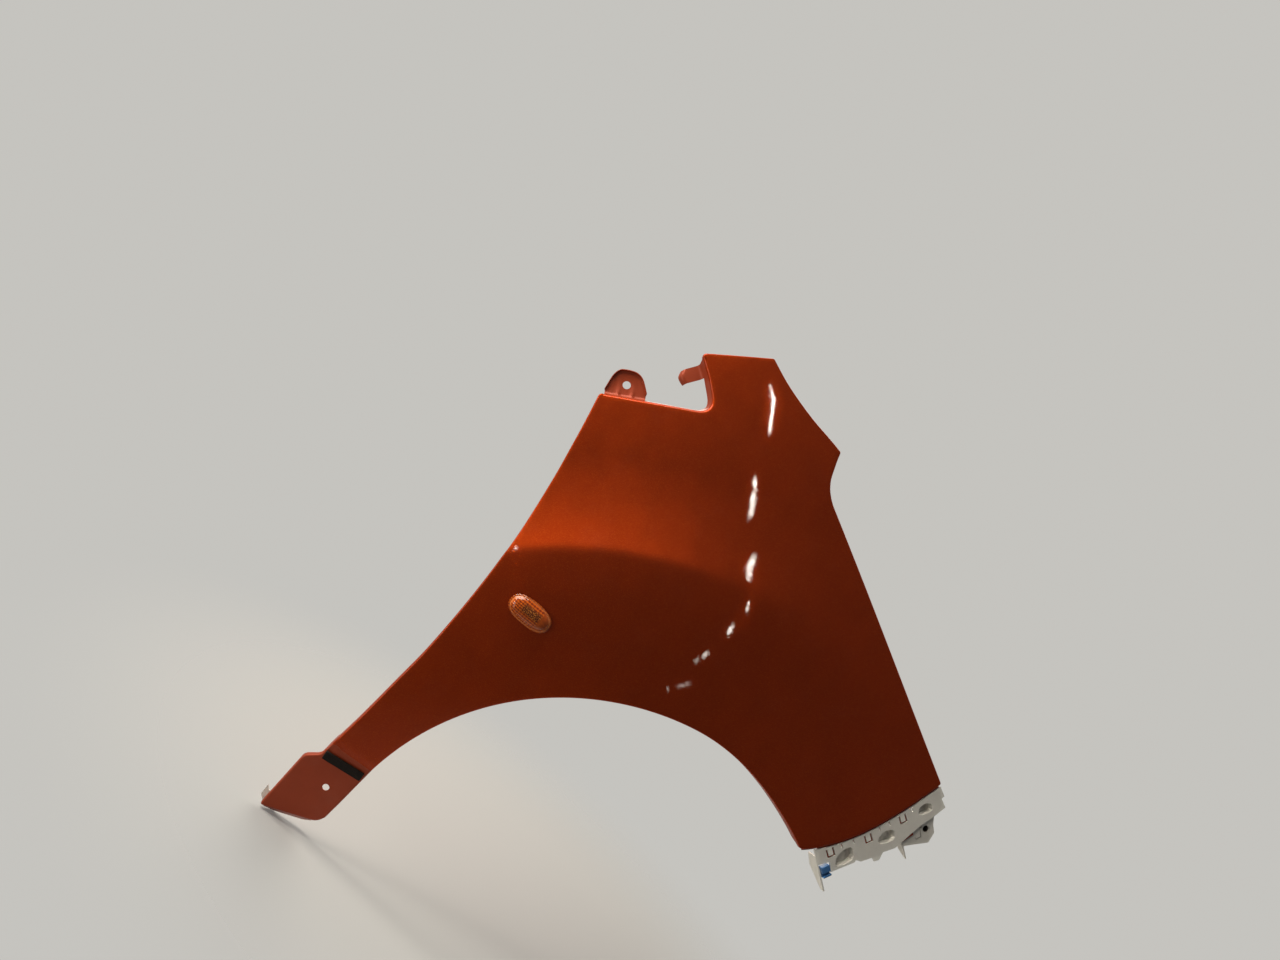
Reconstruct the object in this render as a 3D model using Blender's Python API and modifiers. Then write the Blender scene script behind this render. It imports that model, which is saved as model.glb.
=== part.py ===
"""Right-hand front fender of a small car, with its side repeater and its bumper corner bracket.

Metres, +Z up, +X towards the front of the car, -Y outwards, away from the car. Every piece hangs from
the wheel centre, and the whole is set so that the seat of the rear foot, the back of its flat face that
lies against the car, is at the origin.
"""

import math

import bmesh
import bpy
import numpy as np
from mathutils import Matrix, Vector
from mathutils.geometry import delaunay_2d_cdt

# Sheet, gaps and mesh fineness
SHEET = 0.0009
GAP = 0.0003
CELL = 0.027
OVERRUN = 0.004
TOLERANCE = 0.0000001
BEND_STEPS = 2
CORNER_STEPS = 3
SLIVER_SHARE = 0.0002
LATTICE_MARGIN_SHARE = 0.62
CORNER_CUT_SHARE = 0.22
POCKET_MARGIN_SHARE = 0.01
BEND_MARGIN_SHARE = 0.3

# Outline, measured from the wheel centre
ARCH_RADIUS = 0.346
ARCH_TIGHTENING = 0.008
ARCH_TIGHTENING_START_DEGREES = 99.2
ARCH_TIGHTENING_DEGREES = 30.0
ARCH_FRONT_DEGREES = 62.3
LEG_WIDTH = 0.058
FRONT_REACH = 0.285
FRONT_HEIGHT = 0.478
TOP_HEIGHT = 0.7834
FOOT_DROP = 0.080
BUMPER_BOW = 0.016
BUMPER_BOW_POWER = 0.8
DOOR_REACH = ARCH_RADIUS + LEG_WIDTH

# Shape of the outer face
LEAN_DEGREES = 39.0
WRAP_START = -0.060
WRAP_END = 0.400
WRAP_SLOPE = 0.42
CROWN_START = 0.450
CROWN_RADIUS = 1.40
TUCK_START = 0.300
TUCK_RADIUS = 2.50
RIDGE_RADIUS = 0.534
FLARE_HEIGHT = 0.026
FLARE_CURVE = 0.900
FLARE_FADE = 0.120
FLARE_FRONT_DEGREES = 65.0
FLARE_FULL_DEGREES = 120.0
RIDGE_SHARPNESS = 0.004
RIDGE_SOFTENING = 0.022

# Rear foot: a flat seat set inwards by a joggle
FOOT_TOP = 0.045
FOOT_JOGGLE = 0.003
JOGGLE_RUN = 0.010
FOOT_HOLE_RADIUS = 0.0044
FOOT_HOLE_DROP = 0.007
FOOT_MOUNT_DROP = 0.030

# Folded edges
EDGE_BEND = 0.0022
NOTCH_BEND = 0.0042
DOOR_FOLD = 0.012
ARCH_FOLD = 0.013
HOOD_FOLD = 0.020
HOOD_END_FOLD = 0.015
NOTCH_FOLD = 0.013
FOOT_SIDE_FOLD = 0.007
FOOT_BASE_FOLD = 0.013
CORNER_RELIEF = 0.014
NOTCH_CORNER = 0.0266
LEAST_FOLD = 0.0065

# Tabs that grow from the folds
PILLAR_TAB_DEPTH = 0.011
PILLAR_TAB_REACH = 0.033
PILLAR_HOLE_RADIUS = 0.0054
PILLAR_HOLE_REACH = 0.019
HOOK_DEPTH = 0.017
HOOK_REACH = 0.026
HOOK_LIP = 0.008
LANDING_REACH = 0.006
LANDING_TAB_REACH = 0.042
HOOD_HOLE_RADIUS = 0.0040
HOOD_HOLE_SHARES = (0.16, 0.50, 0.84)
BASE_HOLE_RADIUS = 0.0022
BASE_HOLE_SHARE = 0.42
HOLE_DEPTH_SHARE = 0.58

# Foam strip across the foot of the leg
FOAM_WIDTH = 0.0115
FOAM_THICKNESS = 0.003
FOAM_TOP = 0.037
FOAM_INSET = 0.0015
FOAM_SLOPE = 0.060

# Side repeater, in its own frame: length along the car, +Z out of the panel
REPEATER_AHEAD = -0.313
REPEATER_HEIGHT = 0.331
REPEATER_TURN_DEGREES = -1.5
OVAL_POWER = 2.5
OVAL_STEPS = 28
LENS_LENGTH = 0.060
LENS_WIDTH = 0.032
LENS_HEIGHT = 0.0085
LENS_WALL = 0.0016
LENS_RIM = 0.0014
RIM_LEDGE = 0.0022
GASKET_WIDTH = 0.0016
GASKET_THICKNESS = 0.0007
HOUSING_FLANGE = 0.0020
HOUSING_FLANGE_THICKNESS = 0.0010
HOUSING_DEPTH = 0.020
HOUSING_WALL = 0.0015
OPENING_CLEARANCE = 0.0009
HOLDER_BORE = 0.0078
HOLDER_PLUG_RADIUS = 0.0074
HOLDER_PLUG_LENGTH = 0.0045
HOLDER_FLANGE_RADIUS = 0.0103
HOLDER_FLANGE_THICKNESS = 0.0022
HOLDER_BODY_LENGTH = 0.009
SHROUD_LENGTH = 0.015
SHROUD_WIDTH = 0.011
SHROUD_DEPTH = 0.012
SHROUD_WALL = 0.0014
BULB_RADIUS = 0.0050
BULB_LENGTH = 0.020
WEDGE_WIDTH = 0.0090
WEDGE_THICKNESS = 0.0024
WEDGE_DEPTH = 0.0090
CONTACT_THICKNESS = 0.0006
CONTACT_WIDTH = 0.0030
CONTACT_LENGTH = 0.019
CLIP_STRIP = 0.0006
CLIP_WIDTH = 0.0080
CLIP_LENGTH = 0.013
CLIP_SPREAD = 0.0055

# Bumper corner bracket, along the bumper edge and outwards from it
BRACKET_SET = 0.0016
BRACKET_WALL = 0.0022
BRACKET_DROP = 0.055
BRACKET_CELL = 0.020
POCKET_DEPTH = 0.009
POCKET_TAPER = 0.0016
SNAP_WIDTH = 0.0115
SNAP_LENGTH = 0.012
SNAP_SLOT = 0.0017
SIDE_FIN_DROP = 0.068
SIDE_FIN_DEPTH = 0.022
SIDE_FIN_WALL = 0.0022
LOWER_WALL = 0.0022
LOWER_DROP = 0.036
LOWER_HOLE_RADIUS = 0.0050
LOWER_CROSS_RADIUS = 0.0026
LOWER_FIN_DROP = 0.030
LOWER_FIN_DEPTH = 0.012
CLIP_BLOCK_CLEARANCE = 0.000185376
CLIP_BLOCK_DROP = 0.0150
CLIP_BLOCK_DEPTH = 0.0090
CLIP_BLOCK_SLOT = 0.0032
CLIP_BLOCK_EDGE = 0.0008
CLIP_BLOCK_SEAT = 0.0005

# Sill clip on the rear corner of the foot
SILL_CLIP_WALL = 0.0012
SILL_CLIP_LENGTH = 0.015
SILL_CLIP_RISE = 0.017
SILL_CLIP_DEPTH = 0.009

# Outline points as shares of the reach and of the height that carries them
KINK_SHARES = (-0.238, 0.873)
KINK_STEP_SHARES = ((-0.259, 0.886), (-0.277, 0.901), (-0.288, 0.918), (-0.298, 0.935))
SHOULDER_TIP_SHARES = (-0.304, 0.949)
HOOD_END_SHARES = ((-0.356, 0.954), (-0.443, 0.961), (-0.525, 0.971), (-0.599, 0.983))
TOP_TIP_SHARES = (-0.676, 1.0)
NOTCH_TIP_SHARES = (-0.874, 0.924)
NOTCH_SIDE_SHARES = ((-0.807, 0.900),)
NOTCH_CORNER_SHARES = (-0.716, 0.858)
DOOR_TOP_SHARES = (-1.044, 0.763)
DOOR_EDGE_SHARES = (
    (-1.022, 0.712),
    (-1.002, 0.659),
    (-0.983, 0.604),
    (-0.958, 0.512),
    (-0.948, 0.440),
    (-0.946, 0.360),
    (-0.951, 0.274),
    (-0.963, 0.207),
    (-0.981, 0.115),
)
DOOR_FOOT_SHARES = (-1.0, 0.050)
FOOT_SHOULDER_SHARES = (-1.042, 0.215)
FOOT_REAR_SHARES = (-1.057, -1.0)
FOOT_BASE_SHARES = (-0.884, -0.69)
FOOT_TOE_SHARES = (1.017, -0.55)
FOOT_FRONT_SHARES = (1.008, -0.20)
PILLAR_TAB_SHARES = (0.56, 0.96)
PILLAR_TAB_FORM_SHARES = (0.66, 0.88, 0.98, 1.0, 1.0, 0.97, 0.88, 0.62)
HOOK_SHARES = (0.16, 0.46)
HOOK_FORM_SHARES = (0.90, 1.0, 1.0, 0.90)
LANDING_TAB_SHARES = (0.63, 0.71)
LANDING_SLANT_SHARE = 0.012

# Bracket places as shares of the bumper edge's length and of the bracket's drop
BRACKET_OUTLINE_SHARES = (
    (0.080, 0.56),
    (0.155, 0.61),
    (0.145, 0.86),
    (0.306, 0.90),
    (0.318, 0.86),
    (0.346, 0.95),
    (0.424, 0.99),
    (0.430, 1.10),
    (0.463, 1.12),
    (0.500, 0.98),
    (0.584, 1.02),
    (0.774, 0.79),
    (0.911, 0.69),
    (0.986, 0.62),
    (0.975, 0.36),
    (0.998, 0.33),
    (0.990, 0.13),
)
ARCHED_POCKET_SHARES = (
    (0.180, 0.79),
    (0.205, 0.56),
    (0.262, 0.47),
    (0.320, 0.50),
    (0.312, 0.80),
    (0.250, 0.84),
)
SQUARE_POCKET_SHARES = (
    (0.492, 0.60),
    (0.540, 0.49),
    (0.612, 0.56),
    (0.600, 0.80),
    (0.538, 0.81),
    (0.488, 0.74),
)
TALL_POCKET_SHARES = (
    (0.796, 0.53),
    (0.806, 0.33),
    (0.856, 0.28),
    (0.902, 0.37),
    (0.892, 0.56),
)
SNAP_SHARES = (0.155, 0.430, 0.685)
LOWER_OUTLINE_SHARES = (
    (0.635, 0.00),
    (0.905, 0.00),
    (0.879, 0.40),
    (0.872, 0.72),
    (0.815, 0.98),
    (0.676, 0.72),
    (0.635, 0.66),
)
LOWER_HOLE_SHARES = (0.822, 0.43)
LOWER_CROSS_SHARES = (0.790, 0.26)
LOWER_SLOT_SHARES = (
    (0.735, 0.52),
    (0.744, 0.60),
    (0.772, 0.60),
    (0.780, 0.34),
    (0.786, 0.34),
    (0.779, 0.66),
    (0.738, 0.66),
)


def smooth(value):
    """A share from 0 to 1 with level ends."""
    share = np.clip(value, 0.0, 1.0)
    return share * share * (3.0 - 2.0 * share)


def wrap(along):
    """How far the face has curved inwards on its way round to the front of the car."""
    run = WRAP_END - WRAP_START
    share = np.clip((along - WRAP_START) / run, 0.0, 1.0)
    return WRAP_SLOPE * (run * (share**3 - share**4 / 2.0) + np.maximum(0.0, along - WRAP_END))


def flare(x, z):
    """How far the wheel-arch flare stands out: a ridge at one radius, falling away to both sides."""
    radius = np.hypot(x, z)
    degrees = np.degrees(np.arctan2(z, x))
    strength = smooth((degrees - FLARE_FRONT_DEGREES) / (FLARE_FULL_DEGREES - FLARE_FRONT_DEGREES))
    rounding = RIDGE_SHARPNESS + RIDGE_SOFTENING * (1.0 - strength)
    past = radius - RIDGE_RADIUS
    beyond = (past + np.sqrt(past**2 + rounding**2)) / 2.0
    within = beyond - past
    fade = np.clip(1.0 - beyond / FLARE_FADE, 0.0, 1.0)
    return strength * (FLARE_HEIGHT * fade**2 - within**2 / (2.0 * FLARE_CURVE))


def skin(x, z):
    """The outer face before the foot is set in: its place across the car."""
    lean = math.radians(LEAN_DEGREES)
    along = x * math.cos(lean) + z * math.sin(lean)
    up = z * math.cos(lean) - x * math.sin(lean)
    crown = np.maximum(0.0, up - CROWN_START) ** 2 / (2.0 * CROWN_RADIUS)
    tuck = np.maximum(0.0, TUCK_START - z) ** 2 / (2.0 * TUCK_RADIUS)
    return wrap(along) + crown + tuck - flare(x, z)


def slopes(surface, x, z):
    """How a face leans at a point, along the car and upwards."""
    step = SHEET
    along = (surface(x + step, z) - surface(x - step, z)) / (2.0 * step)
    up = (surface(x, z + step) - surface(x, z - step)) / (2.0 * step)
    return along, up


FOOT_MIDDLE = -(ARCH_RADIUS + LEG_WIDTH / 2.0)
FOOT_SLOPES = slopes(skin, FOOT_MIDDLE, FOOT_TOP)


def face(x, z):
    """The whole outer face: the skin, brought into the flat of the foot."""
    flat = skin(FOOT_MIDDLE, FOOT_TOP) + FOOT_JOGGLE
    flat = flat + FOOT_SLOPES[0] * (x - FOOT_MIDDLE) + FOOT_SLOPES[1] * (z - FOOT_TOP)
    share = smooth((FOOT_TOP + JOGGLE_RUN - z) / JOGGLE_RUN)
    return skin(x, z) * (1.0 - share) + flat * share


def placed(shares, across, up):
    """Points from shares of a reach along the car and of a height."""
    return [(share_x * across, share_z * up) for share_x, share_z in shares]


def arch_point(degrees):
    """A point of the wheel arch, which tightens a little towards the bumper."""
    front = smooth((ARCH_TIGHTENING_START_DEGREES - degrees) / ARCH_TIGHTENING_DEGREES)
    radius = ARCH_RADIUS - ARCH_TIGHTENING * float(front)
    angle = math.radians(degrees)
    return radius * math.cos(angle), radius * math.sin(angle)


def between(first, last, share):
    """The point at a share of the way from one point to another."""
    return tuple(a + (b - a) * share for a, b in zip(first, last))


def curve_through(points, steps=6):
    """A smooth run through points, as a Catmull-Rom spline."""
    padded = np.array([points[0]] + list(points) + [points[-1]])
    run = []
    for before, start, end, after in zip(padded, padded[1:], padded[2:], padded[3:]):
        lean = end - before
        bow = 2.0 * before - 5.0 * start + 4.0 * end - after
        twist = 3.0 * start - before - 3.0 * end + after
        for share in np.arange(steps) / steps:
            run.append(tuple(start + (lean * share + bow * share**2 + twist * share**3) / 2.0))
    return run + [points[-1]]


def lengths(points):
    """How far along a run each of its points lies."""
    steps = [math.dist(a, b) for a, b in zip(points, points[1:])]
    return np.concatenate(([0.0], np.cumsum(steps)))


def spaced(points, cell, least=1):
    """A run divided into equal steps of about one cell."""
    along = lengths(points)
    count = max(least, round(along[-1] / cell))
    at = np.linspace(0.0, along[-1], count + 1)
    pairs = np.array(points)
    return list(zip(np.interp(at, along, pairs[:, 0]), np.interp(at, along, pairs[:, 1])))


def cut_run(points, start, end):
    """A run without a length at its start and at its end."""
    along = lengths(points)
    keep = [p for p, at in zip(points, along) if start < at < along[-1] - end]
    pairs = np.array(points)
    first = (np.interp(start, along, pairs[:, 0]), np.interp(start, along, pairs[:, 1]))
    stop = along[-1] - end
    last = (np.interp(stop, along, pairs[:, 0]), np.interp(stop, along, pairs[:, 1]))
    return [first] + keep + [last]


def rounded(before, corner, after, steps):
    """The points between two runs, as a curve that turns the corner."""
    points = []
    for share in np.arange(1, steps) / steps:
        points.append(between(between(before, corner, share), between(corner, after, share), share))
    return points


def bumper_edge(share):
    """A point of the joint with the bumper, from the arch to the front corner."""
    start = arch_point(ARCH_FRONT_DEGREES)
    x, z = between(start, (FRONT_REACH, FRONT_HEIGHT), share)
    out_x, out_z = bumper_outwards()
    bow = BUMPER_BOW * math.sin(math.pi * share**BUMPER_BOW_POWER)
    return x + out_x * bow, z + out_z * bow


def bumper_outwards():
    """The direction from the panel towards the bumper, square to their joint."""
    start = arch_point(ARCH_FRONT_DEGREES)
    length = math.dist(start, (FRONT_REACH, FRONT_HEIGHT))
    return (FRONT_HEIGHT - start[1]) / length, -(FRONT_REACH - start[0]) / length


def fold(bend, depth, reach=0.0, lip=0.0):
    """The rows of a folded edge, each as its distance outwards and inwards from where the bend starts."""
    turns = [math.pi / 2.0 * step / BEND_STEPS for step in range(1, BEND_STEPS + 1)]
    rows = [(bend * math.sin(turn), bend * (1.0 - math.cos(turn))) for turn in turns]
    if not reach:
        return rows + [(bend, depth)]
    rows.append((bend, depth - bend))
    rows += [(bend * (2.0 - math.cos(turn)), depth - bend * (1.0 - math.sin(turn))) for turn in turns]
    rows.append((bend + reach, depth))
    if lip:
        rows += [(bend + reach + bend * math.sin(turn), depth + bend * (1.0 - math.cos(turn))) for turn in turns]
        rows.append((bend + reach + bend, depth + lip))
    return rows


def inside(points, polygon):
    """Which points lie inside a polygon."""
    x, z = np.asarray(points, dtype=float).T
    within = np.zeros(len(x), dtype=bool)
    for (x0, z0), (x1, z1) in zip(polygon, polygon[1:] + polygon[:1]):
        if z0 == z1:
            continue
        crossing = x0 + (z - z0) * (x1 - x0) / (z1 - z0)
        within ^= ((z0 > z) != (z1 > z)) & (x < crossing)
    return within


def clear_of(points, loops, distance):
    """Which points keep a distance from every edge of some loops."""
    points = np.asarray(points, dtype=float)
    clear = np.ones(len(points), dtype=bool)
    for loop in loops:
        for start, end in zip(loop, loop[1:]):
            start, run = np.array(start), np.subtract(end, start)
            share = np.clip((points - start) @ run / max(run @ run, TOLERANCE**2), 0.0, 1.0)
            nearest = start + share[:, None] * run
            clear &= np.hypot(*(points - nearest).T) > distance
    return clear


def lattice(outline, cell):
    """Points of a triangular lattice over an outline."""
    low, high = np.min(outline, axis=0), np.max(outline, axis=0)
    rise = cell * math.sqrt(3.0) / 2.0
    rows = range(int((high[1] - low[1]) / rise) + 1)
    columns = range(int((high[0] - low[0]) / cell) + 2)
    return [(low[0] + (column + row % 2 / 2.0) * cell, low[1] + row * rise) for row in rows for column in columns]


def outward_normals(loop):
    """The outward direction in the flat at each point of an anticlockwise loop, longer where it turns a corner."""
    points = np.array(loop)
    ahead = np.roll(points, -1, axis=0) - points
    ahead /= np.linalg.norm(ahead, axis=1)[:, None]
    behind = np.roll(ahead, 1, axis=0)
    middle = ahead + behind
    middle /= np.linalg.norm(middle, axis=1)[:, None]
    reach = 1.0 / np.maximum((middle * ahead).sum(axis=1), 0.7)
    return [(z * r, -x * r) for (x, z), r in zip(middle, reach)]


def on_face(surface, point):
    """A point of the flat, lifted to a face."""
    x, z = point
    return Vector((x, float(surface(x, z)), z))


def edge_frame(surface, point, normal):
    """The directions out of an edge along the face, and inwards square to the face."""
    along, up = slopes(surface, *point)
    outwards = Vector((normal[0], along * normal[0] + up * normal[1], normal[1]))
    inwards = Vector((-along, 1.0, -up))
    return outwards.normalized(), inwards.normalized()


def face_matrix(surface, point, direction):
    """A frame on a face: X along a direction, Z out of the face."""
    sideways, inwards = edge_frame(surface, point, direction)
    out = -inwards
    up = out.cross(sideways)
    matrix = Matrix((sideways, up, out)).transposed().to_4x4()
    matrix.translation = on_face(surface, point)
    return matrix


def sheet(name, outline, surface, cell, folds=None, holes=(), guides=(), pockets=()):
    """An open mesh over an outline, pressed to a face, with folded edge rows, holes and pockets."""
    loops = [outline + outline[:1]] + [hole + hole[:1] for hole in holes]
    loops += [list(guide) for guide in guides]
    for rim, floor in pockets:
        loops += [rim + rim[:1], floor + floor[:1]]
    spots = np.array(lattice(outline, cell))
    spots = spots[inside(spots, outline) & clear_of(spots, loops, LATTICE_MARGIN_SHARE * cell)]
    for hole in holes:
        spots = spots[~inside(spots, hole)]
    flat, edges = [], []
    for loop in loops:
        closed = loop[0] == loop[-1]
        first = len(flat)
        flat += loop[:-1] if closed else loop
        edges += [(n, n + 1) for n in range(first, len(flat) - 1)]
        if closed:
            edges.append((len(flat) - 1, first))
    flat += [tuple(spot) for spot in spots]
    result = delaunay_2d_cdt([Vector(point) for point in flat], edges, [], 0, TOLERANCE)
    corners, faces, sources = result[0], result[2], result[3]
    number = {}
    for new, old_ones in enumerate(sources):
        for old in old_ones:
            number[old] = new
    places = np.array([tuple(corner) for corner in corners])
    centres = places[np.array(faces)].mean(axis=1)
    kept = inside(centres, outline)
    for hole in holes:
        kept &= ~inside(centres, hole)
    drops = np.zeros(len(places))
    for rim, floor in pockets:
        widened = [between(point, np.mean(floor, axis=0), -POCKET_MARGIN_SHARE) for point in floor]
        drops[inside(places, widened)] = POCKET_DEPTH
    mesh = bmesh.new()
    verts = []
    for place, drop in zip(places, drops):
        point = on_face(surface, place)
        if drop:
            point += edge_frame(surface, place, (1.0, 0.0))[1] * drop
        verts.append(mesh.verts.new(point))
    for keep, corner in zip(kept, faces):
        if keep:
            a, b, c = (places[n] for n in corner)
            turn = (b[0] - a[0]) * (c[1] - a[1]) - (b[1] - a[1]) * (c[0] - a[0])
            if abs(turn) < SLIVER_SHARE * cell**2:
                continue
            order = corner if turn > 0.0 else corner[::-1]
            mesh.faces.new([verts[n] for n in order])
    if folds:
        rows = [[verts[number[n]]] + [mesh.verts.new(p) for p in fold_points] for n, fold_points in enumerate(folds)]
        for here, there in zip(rows, rows[1:] + rows[:1]):
            for row in range(1, min(len(here), len(there))):
                mesh.faces.new((there[row - 1], here[row - 1], here[row], there[row]))
    bmesh.ops.delete(mesh, geom=[v for v in mesh.verts if not v.link_faces], context="VERTS")
    data = bpy.data.meshes.new(name)
    mesh.to_mesh(data)
    mesh.free()
    return data


def split(points, start, end):
    """The part of a run between two shares of its length."""
    length = lengths(points)[-1]
    return cut_run(points, start * length, (1.0 - end) * length)


def edge(points, depth, bend=EDGE_BEND, corner=0.0, relief=False, cell=CELL, **tab):
    """One run of the fender's outline, with its fold and the corner that ends it."""
    return {"points": points, "depth": depth, "bend": bend, "corner": corner, "relief": relief, "cell": cell} | tab


def fender_edges():
    """The runs of the fender's outline, anticlockwise as seen from outside, from the arch round to the arch."""
    rear_degrees = 180.0 - math.degrees(math.asin(FOOT_TOP / ARCH_RADIUS))
    arch = [arch_point(degrees) for degrees in np.linspace(rear_degrees, ARCH_FRONT_DEGREES, 90)]
    bumper = [bumper_edge(share) for share in np.linspace(0.0, 1.0, 40)]
    landing = {"landing": True, "cell": CELL * 0.6}
    front_corner, kink = hood_edge()
    tips = (SHOULDER_TIP_SHARES, TOP_TIP_SHARES, NOTCH_TIP_SHARES, NOTCH_CORNER_SHARES, DOOR_TOP_SHARES)
    shoulder_tip, top_tip, notch_tip, notch_corner, door_top = placed(tips, DOOR_REACH, TOP_HEIGHT)
    door_foot = placed((DOOR_FOOT_SHARES,), DOOR_REACH, TOP_HEIGHT)[0]
    kink_run = curve_through([kink] + placed(KINK_STEP_SHARES, DOOR_REACH, TOP_HEIGHT) + [shoulder_tip])
    hood_end = curve_through([shoulder_tip] + placed(HOOD_END_SHARES, DOOR_REACH, TOP_HEIGHT) + [top_tip])
    notch_side = [notch_tip] + placed(NOTCH_SIDE_SHARES, DOOR_REACH, TOP_HEIGHT) + [notch_corner]
    door = curve_through([door_top] + placed(DOOR_EDGE_SHARES, DOOR_REACH, TOP_HEIGHT) + [door_foot])
    shoulder = placed((FOOT_SHOULDER_SHARES,), DOOR_REACH, FOOT_DROP)[0]
    heel, base = foot_base()
    toe, front = placed((FOOT_TOE_SHARES, FOOT_FRONT_SHARES), -ARCH_RADIUS, FOOT_DROP)
    tab_left, tab_right = LANDING_TAB_SHARES
    slant = LANDING_SLANT_SHARE
    hook_start, hook_end = HOOK_SHARES
    tab_start, tab_end = PILLAR_TAB_SHARES
    return [
        edge(split(bumper, 0.0, tab_left - slant), 0.0, reach=LANDING_REACH, **landing),
        edge(split(bumper, tab_left, tab_right), 0.0, reach=LANDING_TAB_REACH, apart=True, **landing),
        edge(
            split(bumper, tab_right + slant, 1.0),
            0.0,
            reach=LANDING_REACH,
            apart=True,
            corner=SHEET * 4.0,
            relief=True,
            **landing,
        ),
        edge([front_corner, kink], HOOD_FOLD, corner=CORNER_RELIEF),
        edge(kink_run, HOOD_END_FOLD, corner=SHEET * 3.0, relief=True),
        edge(hood_end, HOOD_END_FOLD, corner=SHEET * 3.0, relief=True),
        edge([top_tip, notch_tip], HOOD_END_FOLD, corner=SHEET * 3.0, relief=True),
        edge(split(notch_side, 0.0, hook_start), NOTCH_FOLD, bend=NOTCH_BEND, cell=CELL / 2.0),
        edge(
            split(notch_side, hook_start, hook_end),
            HOOK_DEPTH,
            bend=NOTCH_BEND,
            reach=HOOK_REACH,
            lip=HOOK_LIP,
            form=HOOK_FORM_SHARES,
            cell=CELL / 4.0,
        ),
        edge(split(notch_side, hook_end, 1.0), NOTCH_FOLD, bend=NOTCH_BEND, corner=NOTCH_CORNER, cell=CELL / 2.0),
        edge(split([notch_corner, door_top], 0.0, tab_start), NOTCH_FOLD, bend=NOTCH_BEND),
        edge(
            split([notch_corner, door_top], tab_start, tab_end),
            PILLAR_TAB_DEPTH,
            bend=NOTCH_BEND,
            reach=PILLAR_TAB_REACH,
            form=PILLAR_TAB_FORM_SHARES,
            cell=CELL / 4.0,
        ),
        edge(split([notch_corner, door_top], tab_end, 1.0), LEAST_FOLD, bend=NOTCH_BEND, corner=SHEET * 3.0),
        edge(door, DOOR_FOLD, corner=SHEET * 5.0, relief=True),
        edge([door_foot, shoulder], FOOT_SIDE_FOLD, corner=SHEET * 6.0),
        edge([shoulder, heel], FOOT_SIDE_FOLD, corner=SHEET * 3.0, relief=True),
        edge([heel, base], FOOT_BASE_FOLD, corner=SHEET * 9.0, relief=True),
        edge([base, toe, front, arch[0]], FOOT_SIDE_FOLD, corner=SHEET * 2.0),
        edge(arch, ARCH_FOLD, corner=SHEET * 4.0, relief=True),
    ]


def hood_edge():
    """The ends of the edge beside the hood, from the front corner to the kink."""
    return [(FRONT_REACH, FRONT_HEIGHT)] + placed((KINK_SHARES,), DOOR_REACH, TOP_HEIGHT)


def foot_base():
    """The ends of the foot's lower edge, from the heel forwards."""
    return placed((FOOT_REAR_SHARES, FOOT_BASE_SHARES), DOOR_REACH, FOOT_DROP)


def fold_matrix(ends, share, depth):
    """A frame on a straight edge's fold: Z square to the fold's wall, at a depth behind the face."""
    start, end = ends
    length = math.dist(start, end)
    normal = ((end[1] - start[1]) / length, -(end[0] - start[0]) / length)
    point = between(start, end, share)
    outwards, inwards = edge_frame(face, point, normal)
    matrix = Matrix((inwards.cross(outwards), inwards, outwards)).transposed().to_4x4()
    matrix.translation = on_face(face, point) + inwards * depth
    return matrix


def tab_frame(run, surface):
    """The middle of a tab's root and its directions: along the root, outwards and inwards."""
    first, last = run[0], run[-1]
    middle = between(first, last, 0.5)
    length = math.dist(first, last)
    normal = ((last[1] - first[1]) / length, -(last[0] - first[0]) / length)
    outwards, inwards = edge_frame(surface, middle, normal)
    return on_face(surface, middle), normal, outwards, inwards


def landing_depth():
    """How deep the step of the bumper flange is: the bracket's set and wall, and the gap behind it."""
    return BRACKET_SET + BRACKET_WALL + 2.0 * GAP


def widen_corners(runs):
    """Lengthens the cut at each outer corner to what its bends need."""
    for run, following in zip(runs, runs[1:] + runs[:1]):
        if run["corner"]:
            before, corner = run["points"][-2:]
            x0, z0 = np.subtract(corner, before)
            x1, z1 = np.subtract(following["points"][1], corner)
            turn = math.atan2(x0 * z1 - z0 * x1, x0 * x1 + z0 * z1)
            bend = max(run["bend"], following["bend"]) * (1.0 + BEND_MARGIN_SHARE)
            run["corner"] = max(run["corner"], bend * math.tan(max(turn, 0.0) / 2.0) + SHEET)


def fender_loop():
    """The inset outline of the fender and, for each of its points, the points of its folded rows."""
    runs = fender_edges()
    widen_corners(runs)
    nodes = []
    for before, run, following in zip([runs[-1]] + runs[:-1], runs, runs[1:] + runs[:1]):
        count = len(run["form"]) - 1 if "form" in run else 1
        trimmed = cut_run(run["points"], before["corner"], run["corner"])
        cell = lengths(trimmed)[-1] / count if "form" in run else run["cell"]
        points = spaced(trimmed, cell, count)
        if not before["corner"] and not run.get("apart"):
            if before.get("reach", 0.0) > run.get("reach", 0.0):
                points = points[1:]
            else:
                nodes.pop()
        for order, point in enumerate(points):
            node = dict(run, point=point)
            if "form" in run:
                node["reach"] = run["reach"] * run["form"][order]
                node["tab"] = trimmed
            nodes.append(node)
        if run["corner"]:
            ahead = cut_run(following["points"], run["corner"], 0.0)[0]
            depth = LEAST_FOLD if run["relief"] else min(run["depth"], following["depth"])
            plain = edge([], depth, bend=min(run["bend"], following["bend"]))
            for point in rounded(trimmed[-1], run["points"][-1], ahead, CORNER_STEPS):
                nodes.append(dict(plain, point=point, sharp=run["relief"]))
    return nodes


def relieve(nodes):
    """Shortens the folds near sharp corners, where a pressing is notched."""
    points = [node["point"] for node in nodes]
    sharp = [node["point"] for node in nodes if node.get("sharp")]
    for node, point in zip(nodes, points):
        near = min(math.dist(point, corner) for corner in sharp)
        share = float(smooth(near / CORNER_RELIEF))
        if "reach" not in node:
            node["depth"] = LEAST_FOLD + max(0.0, node["depth"] - LEAST_FOLD) * share


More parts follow.
